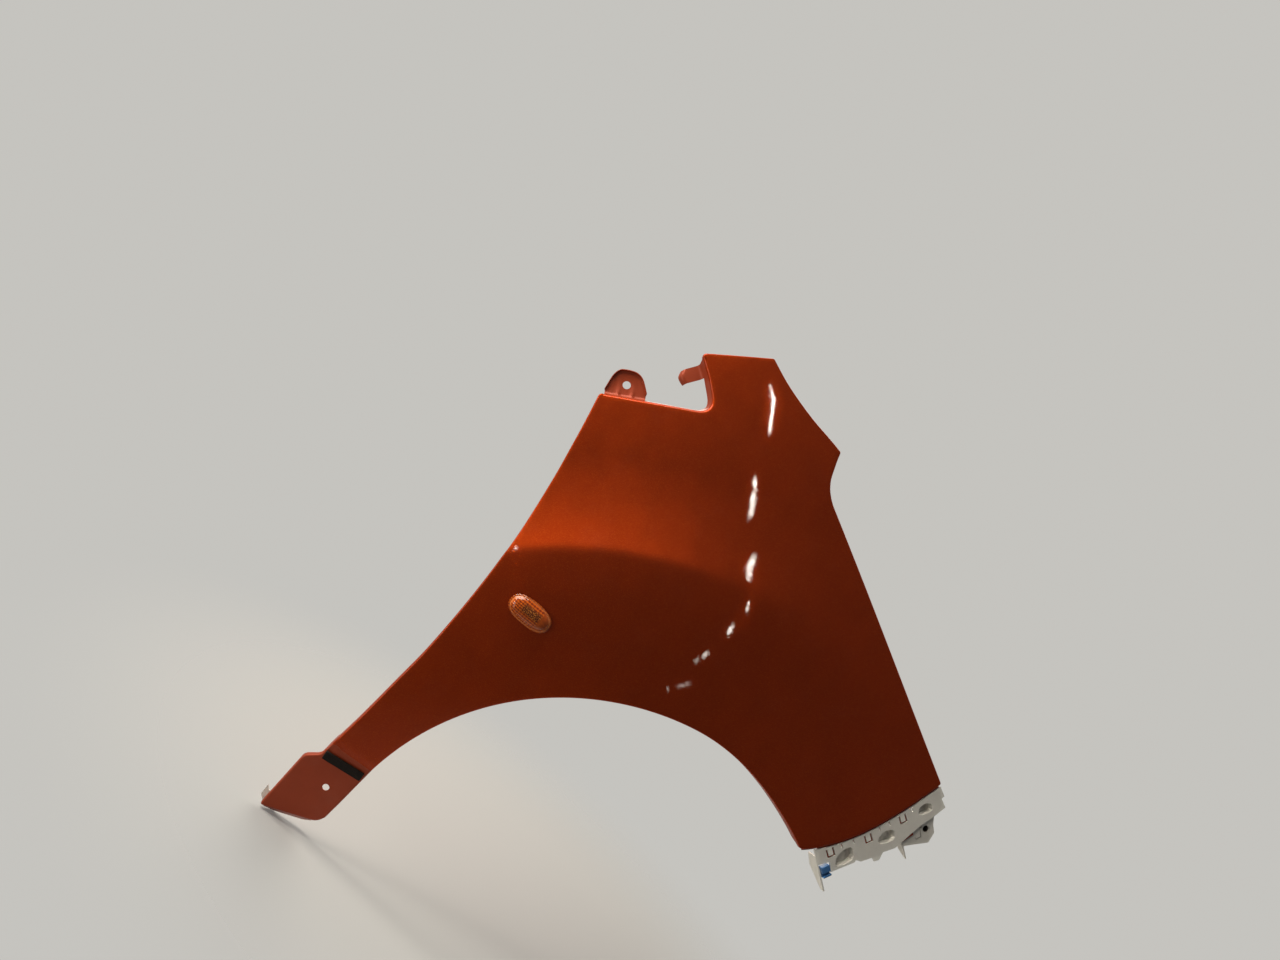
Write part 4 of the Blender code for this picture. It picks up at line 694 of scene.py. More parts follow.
def fender_edges():
    """The runs of the fender's outline, anticlockwise from outside, from the bumper round to the arch."""
    rear_degrees = 180.0 - math.degrees(math.asin(FOOT_TOP / ARCH_RADIUS))
    arch = [arch_point(degrees) for degrees in np.linspace(rear_degrees, ARCH_FRONT_DEGREES, ARCH_POINTS)]
    bumper = [bumper_edge(share) for share in np.linspace(0.0, 1.0, BUMPER_POINTS)]
    shoulder_tip, top_tip, notch_tip = upper(SHOULDER_TIP_SHARES, TOP_TIP_SHARES, NOTCH_TIP_SHARES)
    notch_corner, door_top, door_foot = upper(NOTCH_CORNER_SHARES, DOOR_TOP_SHARES, DOOR_FOOT_SHARES)
    kink_run = curve_through([hood_edge()[1], *upper(*KINK_STEP_SHARES), shoulder_tip])
    hood_end = curve_through([shoulder_tip, *upper(*HOOD_END_SHARES), top_tip])
    notch = [notch_tip, *upper(*NOTCH_SIDE_SHARES), notch_corner]
    pillar = [notch_corner, door_top]
    door = curve_through([door_top, *upper(*DOOR_EDGE_SHARES), door_foot])
    shoulder = placed((FOOT_SHOULDER_SHARES,), DOOR_REACH, FOOT_DROP)[0]
    heel, base = foot_base()
    toe, front = placed((FOOT_TOE_SHARES, FOOT_FRONT_SHARES), -ARCH_RADIUS, FOOT_DROP)
    tab_left, tab_right = LANDING_TAB_SHARES
    hook_start, hook_end = HOOK_SHARES
    tab_start, tab_end = PILLAR_TAB_SHARES
    landing = {"landing": True, "apart": True}
    sharp = {"relief": True}
    last_landing = split(bumper, tab_right + LANDING_SLANT_SHARE, 1.0)
    hook = {"reach": HOOK_REACH, "lip": HOOK_LIP, "form": HOOK_FORM_SHARES}
    tab = {"reach": PILLAR_TAB_REACH, "form": PILLAR_TAB_FORM_SHARES, "rim": TAB_RIM}
    return [
        *landing_steps(bumper, tab_left - LANDING_SLANT_SHARE),
        edge(split(bumper, tab_left, tab_right), 0.0, reach=LANDING_TAB_REACH, **landing),
        edge(last_landing, 0.0, ARCH_CORNER, reach=LANDING_REACH, **landing, **sharp),
        edge(hood_edge(), HOOD_FOLD, CORNER_RELIEF),
        edge(kink_run, HOOD_END_FOLD, TIGHT_CORNER, **sharp),
        edge(hood_end, HOOD_END_FOLD, TIGHT_CORNER, **sharp),
        edge([top_tip, notch_tip], HOOD_END_FOLD, TIGHT_CORNER, **sharp),
        edge(split(notch, 0.0, hook_start), NOTCH_FOLD, bend=NOTCH_BEND),
        edge(split(notch, hook_start, hook_end), HOOK_DEPTH, bend=NOTCH_BEND, **hook),
        edge(split(notch, hook_end, 1.0), NOTCH_FOLD, NOTCH_CORNER, NOTCH_BEND),
        edge(split(pillar, 0.0, tab_start), NOTCH_FOLD, bend=NOTCH_BEND),
        edge(split(pillar, tab_start, tab_end), PILLAR_TAB_DEPTH, bend=NOTCH_BEND, **tab),
        edge(split(pillar, tab_end, 1.0), LEAST_FOLD, TIGHT_CORNER, NOTCH_BEND),
        edge(door, DOOR_FOLD, DOOR_CORNER, **sharp),
        edge([door_foot, shoulder], FOOT_SIDE_FOLD, SHOULDER_CORNER),
        edge([shoulder, heel], FOOT_SIDE_FOLD, TIGHT_CORNER, **sharp),
        edge([heel, base], FOOT_BASE_FOLD, HEEL_CORNER, lean=BASE_LEAN, **sharp),
        edge([base, toe, front, arch[0]], FOOT_SIDE_FOLD, TOE_CORNER),
        edge(arch, ARCH_FOLD, ARCH_CORNER, **sharp),
    ]


def landing_steps(bumper, end):
    """The landing flange up to its tab, deeper behind the bracket's snap fingers."""
    ends = LANDING_STEP_SHARES + (end,)
    spans = zip(ends, ends[1:], LANDING_STEP_REACHES)
    return [edge(split(bumper, start, stop), 0.0, reach=reach, landing=True) for start, stop, reach in spans]


def hood_edge():
    """The ends of the edge beside the hood, from the front corner to the kink."""
    return [bumper_ends()[1], *upper(KINK_SHARES)]


def foot_base():
    """The ends of the foot's lower edge, from the heel forwards."""
    return placed((FOOT_REAR_SHARES, FOOT_BASE_SHARES), DOOR_REACH, FOOT_DROP)


def fold_matrix(ends, share, depth):
    """A frame on a straight edge's fold: Z square to the fold's wall, at a depth behind the face."""
    point = between(*ends, share)
    outwards, inwards = edge_frame(face, point, out_of(*ends))
    return frame_of(inwards.cross(outwards), inwards, outwards, on_face(face, point) + inwards * depth)


def tab_frame(run):
    """The middle of a tab's root and its directions: along the root, outwards and inwards."""
    middle = between(run[0], run[-1], 0.5)
    normal = out_of(run[0], run[-1])
    return on_face(face, middle), normal, *edge_frame(face, middle, normal)


def landing_depth():
    """How deep the step of the bumper flange is: the bracket's set and wall, and the gap behind it."""
    return BRACKET_SET + BRACKET_WALL + 2.0 * GAP


def widen_corners(runs):
    """Lengthens the cut at each outer corner to what its bends need."""
    for run, following in zip(runs, runs[1:] + runs[:1]):
        if run["corner"]:
            before, corner = run["points"][-2:]
            x0, z0 = np.subtract(corner, before)
            x1, z1 = np.subtract(following["points"][1], corner)
            turn = math.atan2(x0 * z1 - z0 * x1, x0 * x1 + z0 * z1)
            bend = max(run["bend"], following["bend"]) * (1.0 + BEND_MARGIN_SHARE)
            run["corner"] = max(run["corner"], bend * math.tan(max(turn, 0.0) / 2.0) + SHEET)


def fender_loop():
    """The inset outline of the fender and, for each of its points, the points of its folded rows."""
    runs = fender_edges()
    widen_corners(runs)
    nodes = []
    for before, run, following in zip([runs[-1]] + runs[:-1], runs, runs[1:] + runs[:1]):
        count = (len(run["form"]) - 1) * FORM_STEPS if "form" in run else 1
        trimmed = cut_run(run["points"], before["corner"], run["corner"])
        cell = lengths(trimmed)[-1] / count if "form" in run else FINE_CELL
        points = spaced(trimmed, cell, count)
        if not before["corner"] and not run.get("apart"):
            if before.get("reach", 0.0) > run.get("reach", 0.0):
                points = points[1:]
            else:
                nodes.pop()
        for order, point in enumerate(points):
            node = dict(run, point=point)
            if "form" in run:
                at, forms = zip(*curve_through(list(enumerate(run["form"]))))
                node["reach"] = run["reach"] * float(np.interp(order / FORM_STEPS, at, forms))
                node["tab"] = trimmed
                node["share"] = order / count
            nodes.append(node)
        if run["corner"]:
            ahead = cut_run(following["points"], run["corner"], 0.0)[0]
            depth = LEAST_FOLD if run["relief"] else min(run["depth"], following["depth"])
            plain = edge([], depth, bend=min(run["bend"], following["bend"]))
            for point in rounded(trimmed[-1], run["points"][-1], ahead, CORNER_STEPS):
                nodes.append(dict(plain, point=point, sharp=run["relief"]))
    return nodes


def relieve(nodes):
    """Shortens the folds near sharp corners, where a pressing is notched."""
    sharp = [node["point"] for node in nodes if node.get("sharp")]
    for node in nodes:
        if "reach" not in node:
            near = min(math.dist(node["point"], corner) for corner in sharp)
            share = float(smooth(near / CORNER_RELIEF))
            node["depth"] = LEAST_FOLD + max(0.0, node["depth"] - LEAST_FOLD) * share


def fold_points(node, normal):
    """The inset point of an outline node, and the points of its folded rows."""
    bend, depth = node["bend"], node["depth"]
    if "tab" in node:
        root, normal, outwards, inwards = tab_frame(node["tab"])
    else:
        outwards, inwards = edge_frame(face, node["point"], normal)
    inset = tuple(place - aside * bend for place, aside in zip(node["point"], normal))
    start = on_face(face, inset)
    if "tab" in node:
        depth -= (start - root).dot(inwards)
    elif node.get("landing"):
        depth = landing_depth()
    rows = pressed(fold(bend, depth, node.get("reach", 0.0), node.get("lip", 0.0)), node)
    lean = node.get("lean", NOTCH_LEAN if bend == NOTCH_BEND else 0.0)
    rows = [(out + max(0.0, deep - bend) * lean, deep) for out, deep in rows]
    return inset, [start + outwards * out + inwards * deep for out, deep in rows]


def pressed(rows, node):
    """The rows of a fold, with the turned rim and the two crimps that the pillar tab has."""
    rim = min(node.get("rim", 0.0), node.get("reach", 0.0) * TAB_RIM_SHARE)
    if not rim:
        return rows
    end, deep = rows[-1]
    asides = [(node["share"] - share) / TAB_CRIMP_WIDTH_SHARE for share in TAB_CRIMP_SHARES]
    drop = TAB_CRIMP_DEPTH * sum(math.exp(-(aside**2)) for aside in asides)
    root = rows[:BEND_STEPS] + [(out, level - drop) for out, level in rows[BEND_STEPS:-1]]
    turned = [(end - rim * (1.0 - share), deep - rim * share**2) for share in TAB_RIM_STEP_SHARES]
    middle = between(root[-1], turned[0], TAB_CRIMP_FADE_SHARE)
    return root + [(middle[0], deep)] + turned


def ridge_guides():
    """Lines along the crest of the flare and beside it, so that the mesh follows the crease."""
    rear = math.degrees(math.acos(-(DOOR_REACH - LEG_WIDTH / 2.0) / RIDGE_RADIUS))
    steps = int(RIDGE_RADIUS * math.radians(rear - FLARE_FRONT_DEGREES) / FINE_CELL)
    angles = np.radians(np.linspace(rear, RIDGE_GUIDE_END_DEGREES, steps))
    radii = [RIDGE_RADIUS + aside for aside in RIDGE_LINES]
    return [[(radius * math.cos(angle), radius * math.sin(angle)) for angle in angles] for radius in radii]


def foot_guides(outline):
    """The lines across the leg where the joggle starts and ends, the lower one joined to the outline."""
    low = [point for point in outline if point[0] < 0.0 and point[1] <= FOOT_TOP]
    rear = max((point for point in low if point[0] < FOOT_MIDDLE), key=lambda point: point[1])
    front = max((point for point in low if point[0] > FOOT_MIDDLE), key=lambda point: point[1])
    quarter = LEG_WIDTH / 4.0
    level = [(FOOT_MIDDLE + step * quarter, FOOT_TOP) for step in (-1.0, 0.0, 1.0)]
    above = [(x, z + JOGGLE_RUN) for x, z in level]
    return [[rear] + level + [front], above]


def oval(half_length, half_width, steps=OVAL_STEPS):
    """The points of an oval with full ends, anticlockwise."""
    points = []
    for step in range(steps):
        angle = 2.0 * math.pi * step / steps
        across, up = math.cos(angle), math.sin(angle)
        x = half_length * math.copysign(abs(across) ** (2.0 / OVAL_POWER), across)
        y = half_width * math.copysign(abs(up) ** (2.0 / OVAL_POWER), up)
        points.append((x, y))
    return points


def circle(centre, radius, steps):
    """The points of a circle in the flat, anticlockwise."""
    angles = [2.0 * math.pi * step / steps for step in range(steps)]
    return [(centre[0] + radius * math.cos(angle), centre[1] + radius * math.sin(angle)) for angle in angles]


def rod(name, radius, length, segments=CUP_STEPS):
    """A cylinder along Z, centred."""
    mesh = bmesh.new()
    ends = {"cap_ends": True, "radius1": radius, "radius2": radius}
    bmesh.ops.create_cone(mesh, segments=segments, depth=length, **ends)
    return as_data(name, mesh)


def prism(name, outline, thickness):
    """A flat outline given a thickness on both sides."""
    mesh = bmesh.new()
    base = mesh.faces.new([mesh.verts.new((x, y, -thickness / 2.0)) for x, y in outline])
    made = bmesh.ops.extrude_face_region(mesh, geom=[base])["geom"]
    top = [vert for vert in made if isinstance(vert, bmesh.types.BMVert)]
    bmesh.ops.translate(mesh, vec=(0.0, 0.0, thickness), verts=top)
    bmesh.ops.recalc_face_normals(mesh, faces=mesh.faces)
    return as_data(name, mesh)


def oval_body(name, section):
    """A closed body of oval rings, each given by its half length, half width and height."""
    mesh = bmesh.new()
    rings = []
    for half_length, half_width, height in section:
        rings.append([mesh.verts.new((x, y, height)) for x, y in oval(half_length, half_width)])
    mesh.faces.new(rings[0])
    mesh.faces.new(rings[-1])
    for lower, upper_ring in zip(rings, rings[1:]):
        for n in range(OVAL_STEPS):
            m = (n + 1) % OVAL_STEPS
            mesh.faces.new((lower[n], lower[m], upper_ring[m], upper_ring[n]))
    bmesh.ops.recalc_face_normals(mesh, faces=mesh.faces)
    return as_data(name, mesh)


def set_in(depth):
    """The outer face moved inwards, square to itself."""

    def surface(x, z):
        along, up = slopes(face, x, z)
        return face(x, z) + depth * np.sqrt(1.0 + along**2 + up**2)

    return surface


def bracket_matrix(share, drop, depth):
    """A frame on the bracket's level: X along the bumper edge, Y towards the panel, Z out of the face."""
    out_x, out_z = out_of(*bumper_ends())
    return face_matrix(set_in(depth), beyond_edge(share, drop), (-out_z, out_x))


def softened(points):
    """A closed outline with its corners cut."""
    cut = []
    for here, there in zip(points, points[1:] + points[:1]):
        cut += [between(here, there, CORNER_CUT_SHARE), between(there, here, CORNER_CUT_SHARE)]
    return cut


def pocket(shares):
    """The rim and the floor outline of a moulded pocket."""
    rim = softened([beyond_edge(share, drop * BRACKET_DROP) for share, drop in shares])
    centre = tuple(np.mean(rim, axis=0))
    size = np.mean([math.dist(point, centre) for point in rim])
    return rim, [between(point, centre, POCKET_TAPER / size) for point in rim]


def finger_root(share):
    """How far from the bumper edge's chord the bracket starts, at a share of its length."""
    return math.dist(bumper_edge(share), beyond_edge(share, 0.0)) + EDGE_BEND + 2.0 * GAP


def cut_beside(share, corners):
    """A cut in the bracket from its corners: how far along from a share, and how far out."""
    length = math.dist(*bumper_ends())
    return [beyond_edge(share + side / length, drop) for side, drop in corners]


def snap_slot(share):
    """The outline of the narrow slot round a snap finger that points away from the panel."""
    half, narrow = SNAP_WIDTH / 2.0, SNAP_WIDTH / 2.0 - SNAP_SLOT
    root = finger_root(share) + SNAP_SLOT
    tip = root + SNAP_LENGTH
    corners = [(-half, root), (-half, tip), (half, tip), (half, root)]
    corners += [(narrow, root), (narrow, tip - SNAP_SLOT), (-narrow, tip - SNAP_SLOT), (-narrow, root)]
    return cut_beside(share, corners)


def tick(share):
    """The outline of a short slit in the bracket beside the panel's edge."""
    half = TICK_WIDTH / 2.0
    root = finger_root(share) + half
    tip = root + TICK_LENGTH
    return cut_beside(share, [(-half, root), (-half, tip), (half, tip), (half, root)])


def wheel_centre():
    """The wheel centre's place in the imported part's frame."""
    below_hole = (FOOT_MIDDLE, -FOOT_MOUNT_DROP)
    inwards = edge_frame(face, below_hole, (1.0, 0.0))[1]
    return Matrix.Translation(-(on_face(face, below_hole) + inwards * SHEET))


def shape(name, data, matrix, tools=(), thickness=0.0, inner_slot=0):
    """A finished mesh object: the sheet given its wall, cut or joined by its tools, and shaded smooth."""
    item = new_item(name, data, matrix)
    if thickness:
        wall = item.modifiers.new("wall", "SOLIDIFY")
        wall.thickness = thickness
        wall.offset = -1.0
        wall.use_quality_normals = True
        wall.material_offset = inner_slot
        wall.material_offset_rim = inner_slot
    for tool, operation in tools:
        modifier = item.modifiers.new(tool.name, "BOOLEAN")
        modifier.operation = operation
        modifier.object = tool
    bpy.context.view_layer.update()
    evaluated = item.evaluated_get(bpy.context.evaluated_depsgraph_get())
    final = bpy.data.meshes.new_from_object(evaluated)
    item.modifiers.clear()
    item.data = final
    for tool, operation in tools:
        bpy.data.objects.remove(tool, do_unlink=True)
    final.shade_smooth()
    final.set_sharp_from_angle(angle=math.radians(SHARP_DEGREES))
    return item


def shown_face(x, z):
    """The outer face with the small round dimple beside the foam strip."""
    distance = np.hypot(x - DIMPLE_PLACE[0], z - DIMPLE_PLACE[1])
    return face(x, z) + DIMPLE_DEPTH * (1.0 - smooth(distance / DIMPLE_RADIUS))


def hole_tool(name, radius, matrix):
    """A shape that cuts a round hole through the panel."""
    return new_item(name, rod(name, radius, SHEET * 2.0 + OVERRUN, HOLE_STEPS), matrix), "DIFFERENCE"


def make_skin(datum):
    """The pressed panel as a fine sheet: slot 0 is the glossy face, slot 1 the satin folds, foot and back."""
    nodes = fender_loop()
    relieve(nodes)
    normals = outward_normals([node["point"] for node in nodes])
    folds = [fold_points(node, normal) for node, normal in zip(nodes, normals)]
    outline = [inset for inset, rows in folds]
    ledge = RIM_LEDGE + HOUSING_FLANGE - OPENING_CLEARANCE
    opening = oval(LENS_LENGTH / 2.0 - ledge, LENS_WIDTH / 2.0 - ledge, OPENING_STEPS)
    opening = [(REPEATER_AHEAD + x, REPEATER_HEIGHT + z) for x, z in opening]
    foot_hole = circle((FOOT_MIDDLE, -FOOT_HOLE_DROP), FOOT_HOLE_RADIUS, HOLE_STEPS)
    guides = ridge_guides() + foot_guides(outline)
    folds = [rows for inset, rows in folds]
    data = sheet("fender_skin", outline, shown_face, FINE_CELL, folds, [opening, foot_hole], guides)
    for part in data.polygons:
        if part.center.z < FOOT_TOP and part.material_index == 0:
            part.material_index = 1
    tab = next(node["tab"] for node in nodes if node.get("rim"))
    root, _, outwards, inwards = tab_frame(tab)
    place = root + outwards * PILLAR_HOLE_REACH + inwards * PILLAR_TAB_DEPTH
    matrix = frame_of(outwards.cross(inwards), outwards, -inwards, place)
    tools = [hole_tool("pillar_hole", PILLAR_HOLE_RADIUS, datum @ matrix)]
    for share in HOOD_HOLE_SHARES:
        matrix = fold_matrix(hood_edge(), share, HOOD_FOLD * HOLE_DEPTH_SHARE)
        tools.append(hole_tool("hood_hole", HOOD_HOLE_RADIUS, datum @ matrix))
    matrix = fold_matrix(foot_base(), BASE_HOLE_SHARE, FOOT_BASE_FOLD * HOLE_DEPTH_SHARE)
    tools.append(hole_tool("base_hole", BASE_HOLE_RADIUS, datum @ matrix))
    skin_piece = shape("fender_skin", data, datum, tools, SHEET, 1)
    settle(skin_piece, "fender_panel", "burnt_orange_paint", glossy_paint(), satin_paint())


def settle(item, node, slot, *materials):
    """Puts a piece on the body in place of a node, with its finishes; the record's material slot that it is
    given is not used.
    """
    for material in materials:
        item.data.materials.append(material)
    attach(item, "root")
    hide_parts(node)


def make_lens_shell(seat):
    """The amber lens: a shallow dome with a raised rim, hollow behind."""
    half, across = LENS_LENGTH / 2.0, LENS_WIDTH / 2.0
    base = GAP * 2.0 + GASKET_THICKNESS
    top = base + LENS_HEIGHT
    section = [(LENS_HEIGHT * LENS_TIP_SHARES[0], LENS_HEIGHT * LENS_TIP_SHARES[1], top)]
    for along, aside, down in LENS_DOME_SHARES:
        section.append((half - LENS_HEIGHT * along, across - LENS_HEIGHT * aside, top - LENS_HEIGHT * down))
    for inset, rise in LENS_RIM_STEPS:
        section.append((half - inset, across - inset, base + LENS_RIM * rise))
    section.append((half - RIM_LEDGE, across - RIM_LEDGE, base + HOUSING_FLANGE_THICKNESS))
    for along, aside, down in LENS_HOLLOW_SHARES:
        inner = (half - LENS_HEIGHT * along - LENS_WALL, across - LENS_HEIGHT * aside - LENS_WALL)
        section.append((*inner, top - LENS_WALL * down))
    lens = shape("lens_shell", oval_body("lens_shell", section), seat)
    settle(lens, "repeater_lens", "amber_lens", amber_plastic())


def make_flutes(seat):
    """The fluted optic plate behind the lens: a wavy strip that gives the lens its lengthwise lines."""
    half = LENS_LENGTH / 2.0 - LENS_HEIGHT * FLUTE_INSET_SHARES[0]
    across = LENS_WIDTH / 2.0 - LENS_HEIGHT * FLUTE_INSET_SHARES[1]
    low = GAP * 2.0 + GASKET_THICKNESS + LENS_HEIGHT * FLUTE_LIFT_SHARE
    rows = np.linspace(-across, across, FLUTE_COUNT * FLUTE_STEPS + 1)
    heights = [low + FLUTE_DEPTH * math.cos(math.pi * y / across * FLUTE_COUNT) for y in rows]
    mesh = bmesh.new()
    grid = []
    for x in np.linspace(-half, half, FLUTE_COLUMNS):
        fullness = math.sqrt(max(0.0, 1.0 - abs(x / half) ** OVAL_POWER))
        share = FLUTE_LEAST_SHARE + (1.0 - FLUTE_LEAST_SHARE) * fullness
        grid.append([mesh.verts.new((x, y * share, height)) for y, height in zip(rows, heights)])
    for here, there in zip(grid, grid[1:]):
        for n in range(len(rows) - 1):
            mesh.faces.new((here[n], there[n], there[n + 1], here[n + 1]))
    flutes = shape("lens_flutes", as_data("lens_flutes", mesh), seat, thickness=GAP)
    flutes.data.materials.append(flute_plastic())
    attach(flutes, "root")


def make_bracket(datum):
    """The bumper bracket with its pockets, snap fingers, slits and side fin."""
    out_x, out_z = out_of(*bumper_ends())
    start, end = BRACKET_OUTLINE_SHARES[0][0], BRACKET_OUTLINE_SHARES[-1][0]
    away = EDGE_BEND + 2.0 * GAP
    inner = [bumper_edge(share) for share in np.linspace(end, start, BRACKET_EDGE_POINTS)]
    inner = [(x + out_x * away, z + out_z * away) for x, z in inner]
    outer = [beyond_edge(share, drop * BRACKET_DROP) for share, drop in BRACKET_OUTLINE_SHARES]
    slots = [snap_slot(share) for share in SNAP_SHARES] + [tick(share) for share in TICK_SHARES]
    cuts = {"holes": slots, "pockets": [pocket(shares) for shares in POCKET_SHARES]}
    data = sheet("bracket_moulding", outer + inner, set_in(BRACKET_SET), BRACKET_FINE_CELL, **cuts)
    top = BRACKET_DROP / 3.0
    long = SIDE_FIN_DROP - top
    outline = [(0.0, 0.0), (long, 0.0), (long - BRACKET_WALL, -SIDE_FIN_DEPTH / 3.0)]
    outline += [(top, -SIDE_FIN_DEPTH), (0.0, -SIDE_FIN_DEPTH * SIDE_FIN_END_SHARE)]
    matrix = datum @ bracket_matrix(start, top, BRACKET_SET + GAP) @ ON_EDGE
    tools = [(new_item("side_fin", prism("side_fin", outline, SIDE_FIN_WALL), matrix), "UNION")]
    bracket = shape("bracket_moulding", data, datum, tools, BRACKET_WALL)
    bracket.data.materials.clear()
    settle(bracket, "bumper_bracket", "grey_plastic", moulded_grey("moulded_grey", GREY_PLASTIC))


def hollow(name, make, sizes, place, depth, opening):
    """The two tools of a blind cup behind a wall: its outside, and its inside from a depth inwards."""
    tops, bottoms = (LOWER_WALL / 2.0, opening), (depth, depth - SOCKET_WALL)
    made = []
    for size, top, bottom, operation in zip(sizes, tops, bottoms, ("UNION", "DIFFERENCE")):
        middle = place @ Matrix.Translation((0.0, 0.0, -(top + bottom) / 2.0))
        label = f"{name}_{operation.lower()}"
        made.append((new_item(label, make(name, size, bottom - top), middle), operation))
    return made


def make_lower_bracket(datum):
    """The smaller bracket behind the landing tab: a slot and a socket hole, a cup behind each with painted
    shade inside, and a fin.
    """
    level = landing_depth() + SHEET + 2.0 * GAP
    first = BRACKET_DROP - LOWER_DROP / 2.0

    def spots(*shares):
        return [beyond_edge(share, first + drop * LOWER_DROP) for share, drop in shares]

    def seat(share, drop, depth=level):
        return datum @ bracket_matrix(share, first + drop * LOWER_DROP, depth)

    socket = circle(*spots(LOWER_HOLE_SHARES), LOWER_HOLE_RADIUS, HOLE_STEPS)
    square = circle(*spots(LOWER_CROSS_SHARES), LOWER_CROSS_RADIUS, 4)
    holes = [spots(*LOWER_SLOT_SHARES), socket, square]
    outline = spots(*LOWER_OUTLINE_SHARES)
    data = sheet("lower_moulding", outline, set_in(level), BRACKET_FINE_CELL, holes=holes)
    fin = [(0.0, 0.0), (LOWER_FIN_DROP, 0.0)]
    fin += [(LOWER_FIN_DROP * LOWER_FIN_TIP_SHARE, -LOWER_FIN_DEPTH), (0.0, -LOWER_FIN_DEPTH)]
    matrix = seat(LOWER_OUTLINE_SHARES[0][0], LOWER_FIN_PLACE_SHARE, level + GAP)
    matrix = matrix @ Matrix.Translation((LOWER_WALL, 0.0, 0.0)) @ ON_EDGE
    tools = [(new_item("lower_fin", prism("lower_fin", fin, LOWER_WALL), matrix), "UNION")]
    length = math.dist(*bumper_ends())
    middle = tuple(np.mean(BOX_SHARES, axis=0))
    corners = [((share - middle[0]) * length, (middle[1] - drop) * LOWER_DROP) for share, drop in BOX_SHARES]
    wide = [(x + math.copysign(SOCKET_WALL, x), y + math.copysign(SOCKET_WALL, y)) for x, y in corners]
    place = seat(*middle)
    tools += hollow("slot_box", prism, (wide, corners), place, BOX_DEPTH, LOWER_WALL * BOX_OPENING_SHARE)
    cups = [(place.inverted(), wide[2][0])]
    place = seat(*LOWER_HOLE_SHARES)
    radii = (LOWER_HOLE_RADIUS + SOCKET_WALL, LOWER_HOLE_RADIUS * SOCKET_BORE_SHARE)
    tools += hollow("socket", rod, radii, place, SOCKET_DEPTH, -LOWER_WALL)
    cups.append((place.inverted(), LOWER_HOLE_RADIUS))
    bracket = shape("lower_moulding", data, datum, tools, LOWER_WALL)
    bracket.data.materials.clear()
    # Faces deep inside the cups take slot 1, a finish painted as the shade in them.
    for part in bracket.data.polygons:
        for inverse, width in cups:
            x, y, height = inverse @ (bracket.matrix_world @ part.center)
            within = max(abs(x), abs(y) * CUP_SHAPE_SHARE) < width
            behind = -SOCKET_DEPTH < height < -LOWER_WALL * CUP_MOUTH_SHARE
            if within and behind and part.normal.y < CUP_NORMAL_LIMIT:
                part.material_index = 1
    grey = moulded_grey("moulded_grey_lower", LOWER_GREY)
    cup_painted_shade = plain_plastic("painted_shade_cup", CUP_PAINTED_SHADE, CUP_ROUGHNESS)
    settle(bracket, "bumper_bracket_lower", "grey_plastic", grey, cup_painted_shade)


class Tree:
    """Short calls for building a node tree."""

    def __init__(self, owner, coordinates):
        owner.use_nodes = True
        self.nodes = owner.node_tree.nodes
        self.links = owner.node_tree.links
        self.coordinates = self.node("TexCoord").outputs[coordinates]

    def put(self, socket, value):
        """Sets a socket to a value, or joins it to another node's output."""
        if isinstance(value, bpy.types.NodeSocket):
            self.links.new(value, socket)
        else:
            socket.default_value = value

    def node(self, kind, values=(), **settings):
        """Adds a node with its settings and its sockets' values by name or number."""
        made = self.nodes.new("ShaderNode" + kind)
        for name, value in settings.items():
            setattr(made, name, value)
        for name, value in dict(values).items():
            self.put(made.inputs[name], value)
        return made

    def reckon(self, operation, first, second=0.0, third=0.0, clamp=False):
        """One sum on values."""
        made = self.node("Math", {0: first, 1: second, 2: third}, operation=operation, use_clamp=clamp)
        return made.outputs[0]

    def between(self, value, start, end, low=0.0, high=1.0):
        """A value carried smoothly from one range to another, and held at its ends."""
        values = {"Value": value, "From Min": start, "From Max": end, "To Min": low, "To Max": high}
        return self.node("MapRange", values, interpolation_type="SMOOTHSTEP").outputs["Result"]

    def mix(self, share, first, second):
        """A colour between two colours."""
        made = self.node("Mix", {"Factor": share}, data_type="RGBA")
        for socket, value in zip((made.inputs[6], made.inputs[7]), (first, second)):
            self.put(socket, (*value, 1.0) if isinstance(value, tuple) else value)
        return made.outputs[2]


class Finish(Tree):
    """Short calls for building one material's node tree."""

    def __init__(self, name):
        self.material = bpy.data.materials.new(name)
        super().__init__(self.material, "Object")
        self.shader = self.nodes["Principled BSDF"]

    def set(self, **values):
        """Sets the shader's own sockets, named with underscores for spaces."""
        for name, value in values.items():
            self.put(self.shader.inputs[name.replace("_", " ")], value)

    def noise(self, scale, detail=3.0, roughness=0.55, along=None):
        """A noise between 0 and 1, stretched where along gives other scales for the three axes."""
        where = self.coordinates
        if along:
            where = self.node("Mapping", {0: where, 3: along}).outputs[0]
        values = {"Vector": where, "Scale": scale, "Detail": detail, "Roughness": roughness}
        return self.node("TexNoise", values).outputs["Fac"]

    def cells(self, scale, output="Color"):
        """A pattern of random cells."""
        return self.node("TexVoronoi", {"Vector": self.coordinates, "Scale": scale}).outputs[output]

    def bump(self, height, strength, distance):
        """A normal roughened by a height."""
        values = {"Height": height, "Strength": strength, "Distance": distance}
        return self.node("Bump", values).outputs["Normal"]

    def wave(self, value, pitch):
        """A wave along a value."""
        return self.reckon("SINE", self.reckon("MULTIPLY", value, 2.0 * math.pi / pitch))

    def axis(self, number):
        """One of the three object coordinates."""
        return self.node("SeparateXYZ", {0: self.coordinates}).outputs[number]


def shade(colour, gain):
    """A colour made darker or lighter."""
    return tuple(min(1.0, part * gain) for part in colour)


def dusted(finish, colour, amount):
    """A colour with a broken film of dust over it."""
    film = finish.noise(22.0, 6.0, 0.7)
    specks = finish.cells(900.0, "Distance")
    share = finish.between(film, 0.48, 0.78, 0.0, amount)
    speck_share = finish.between(specks, 0.16, 0.02, 0.0, amount * 2.0)
    return finish.mix(finish.reckon("MAXIMUM", share, speck_share), colour, DUST)


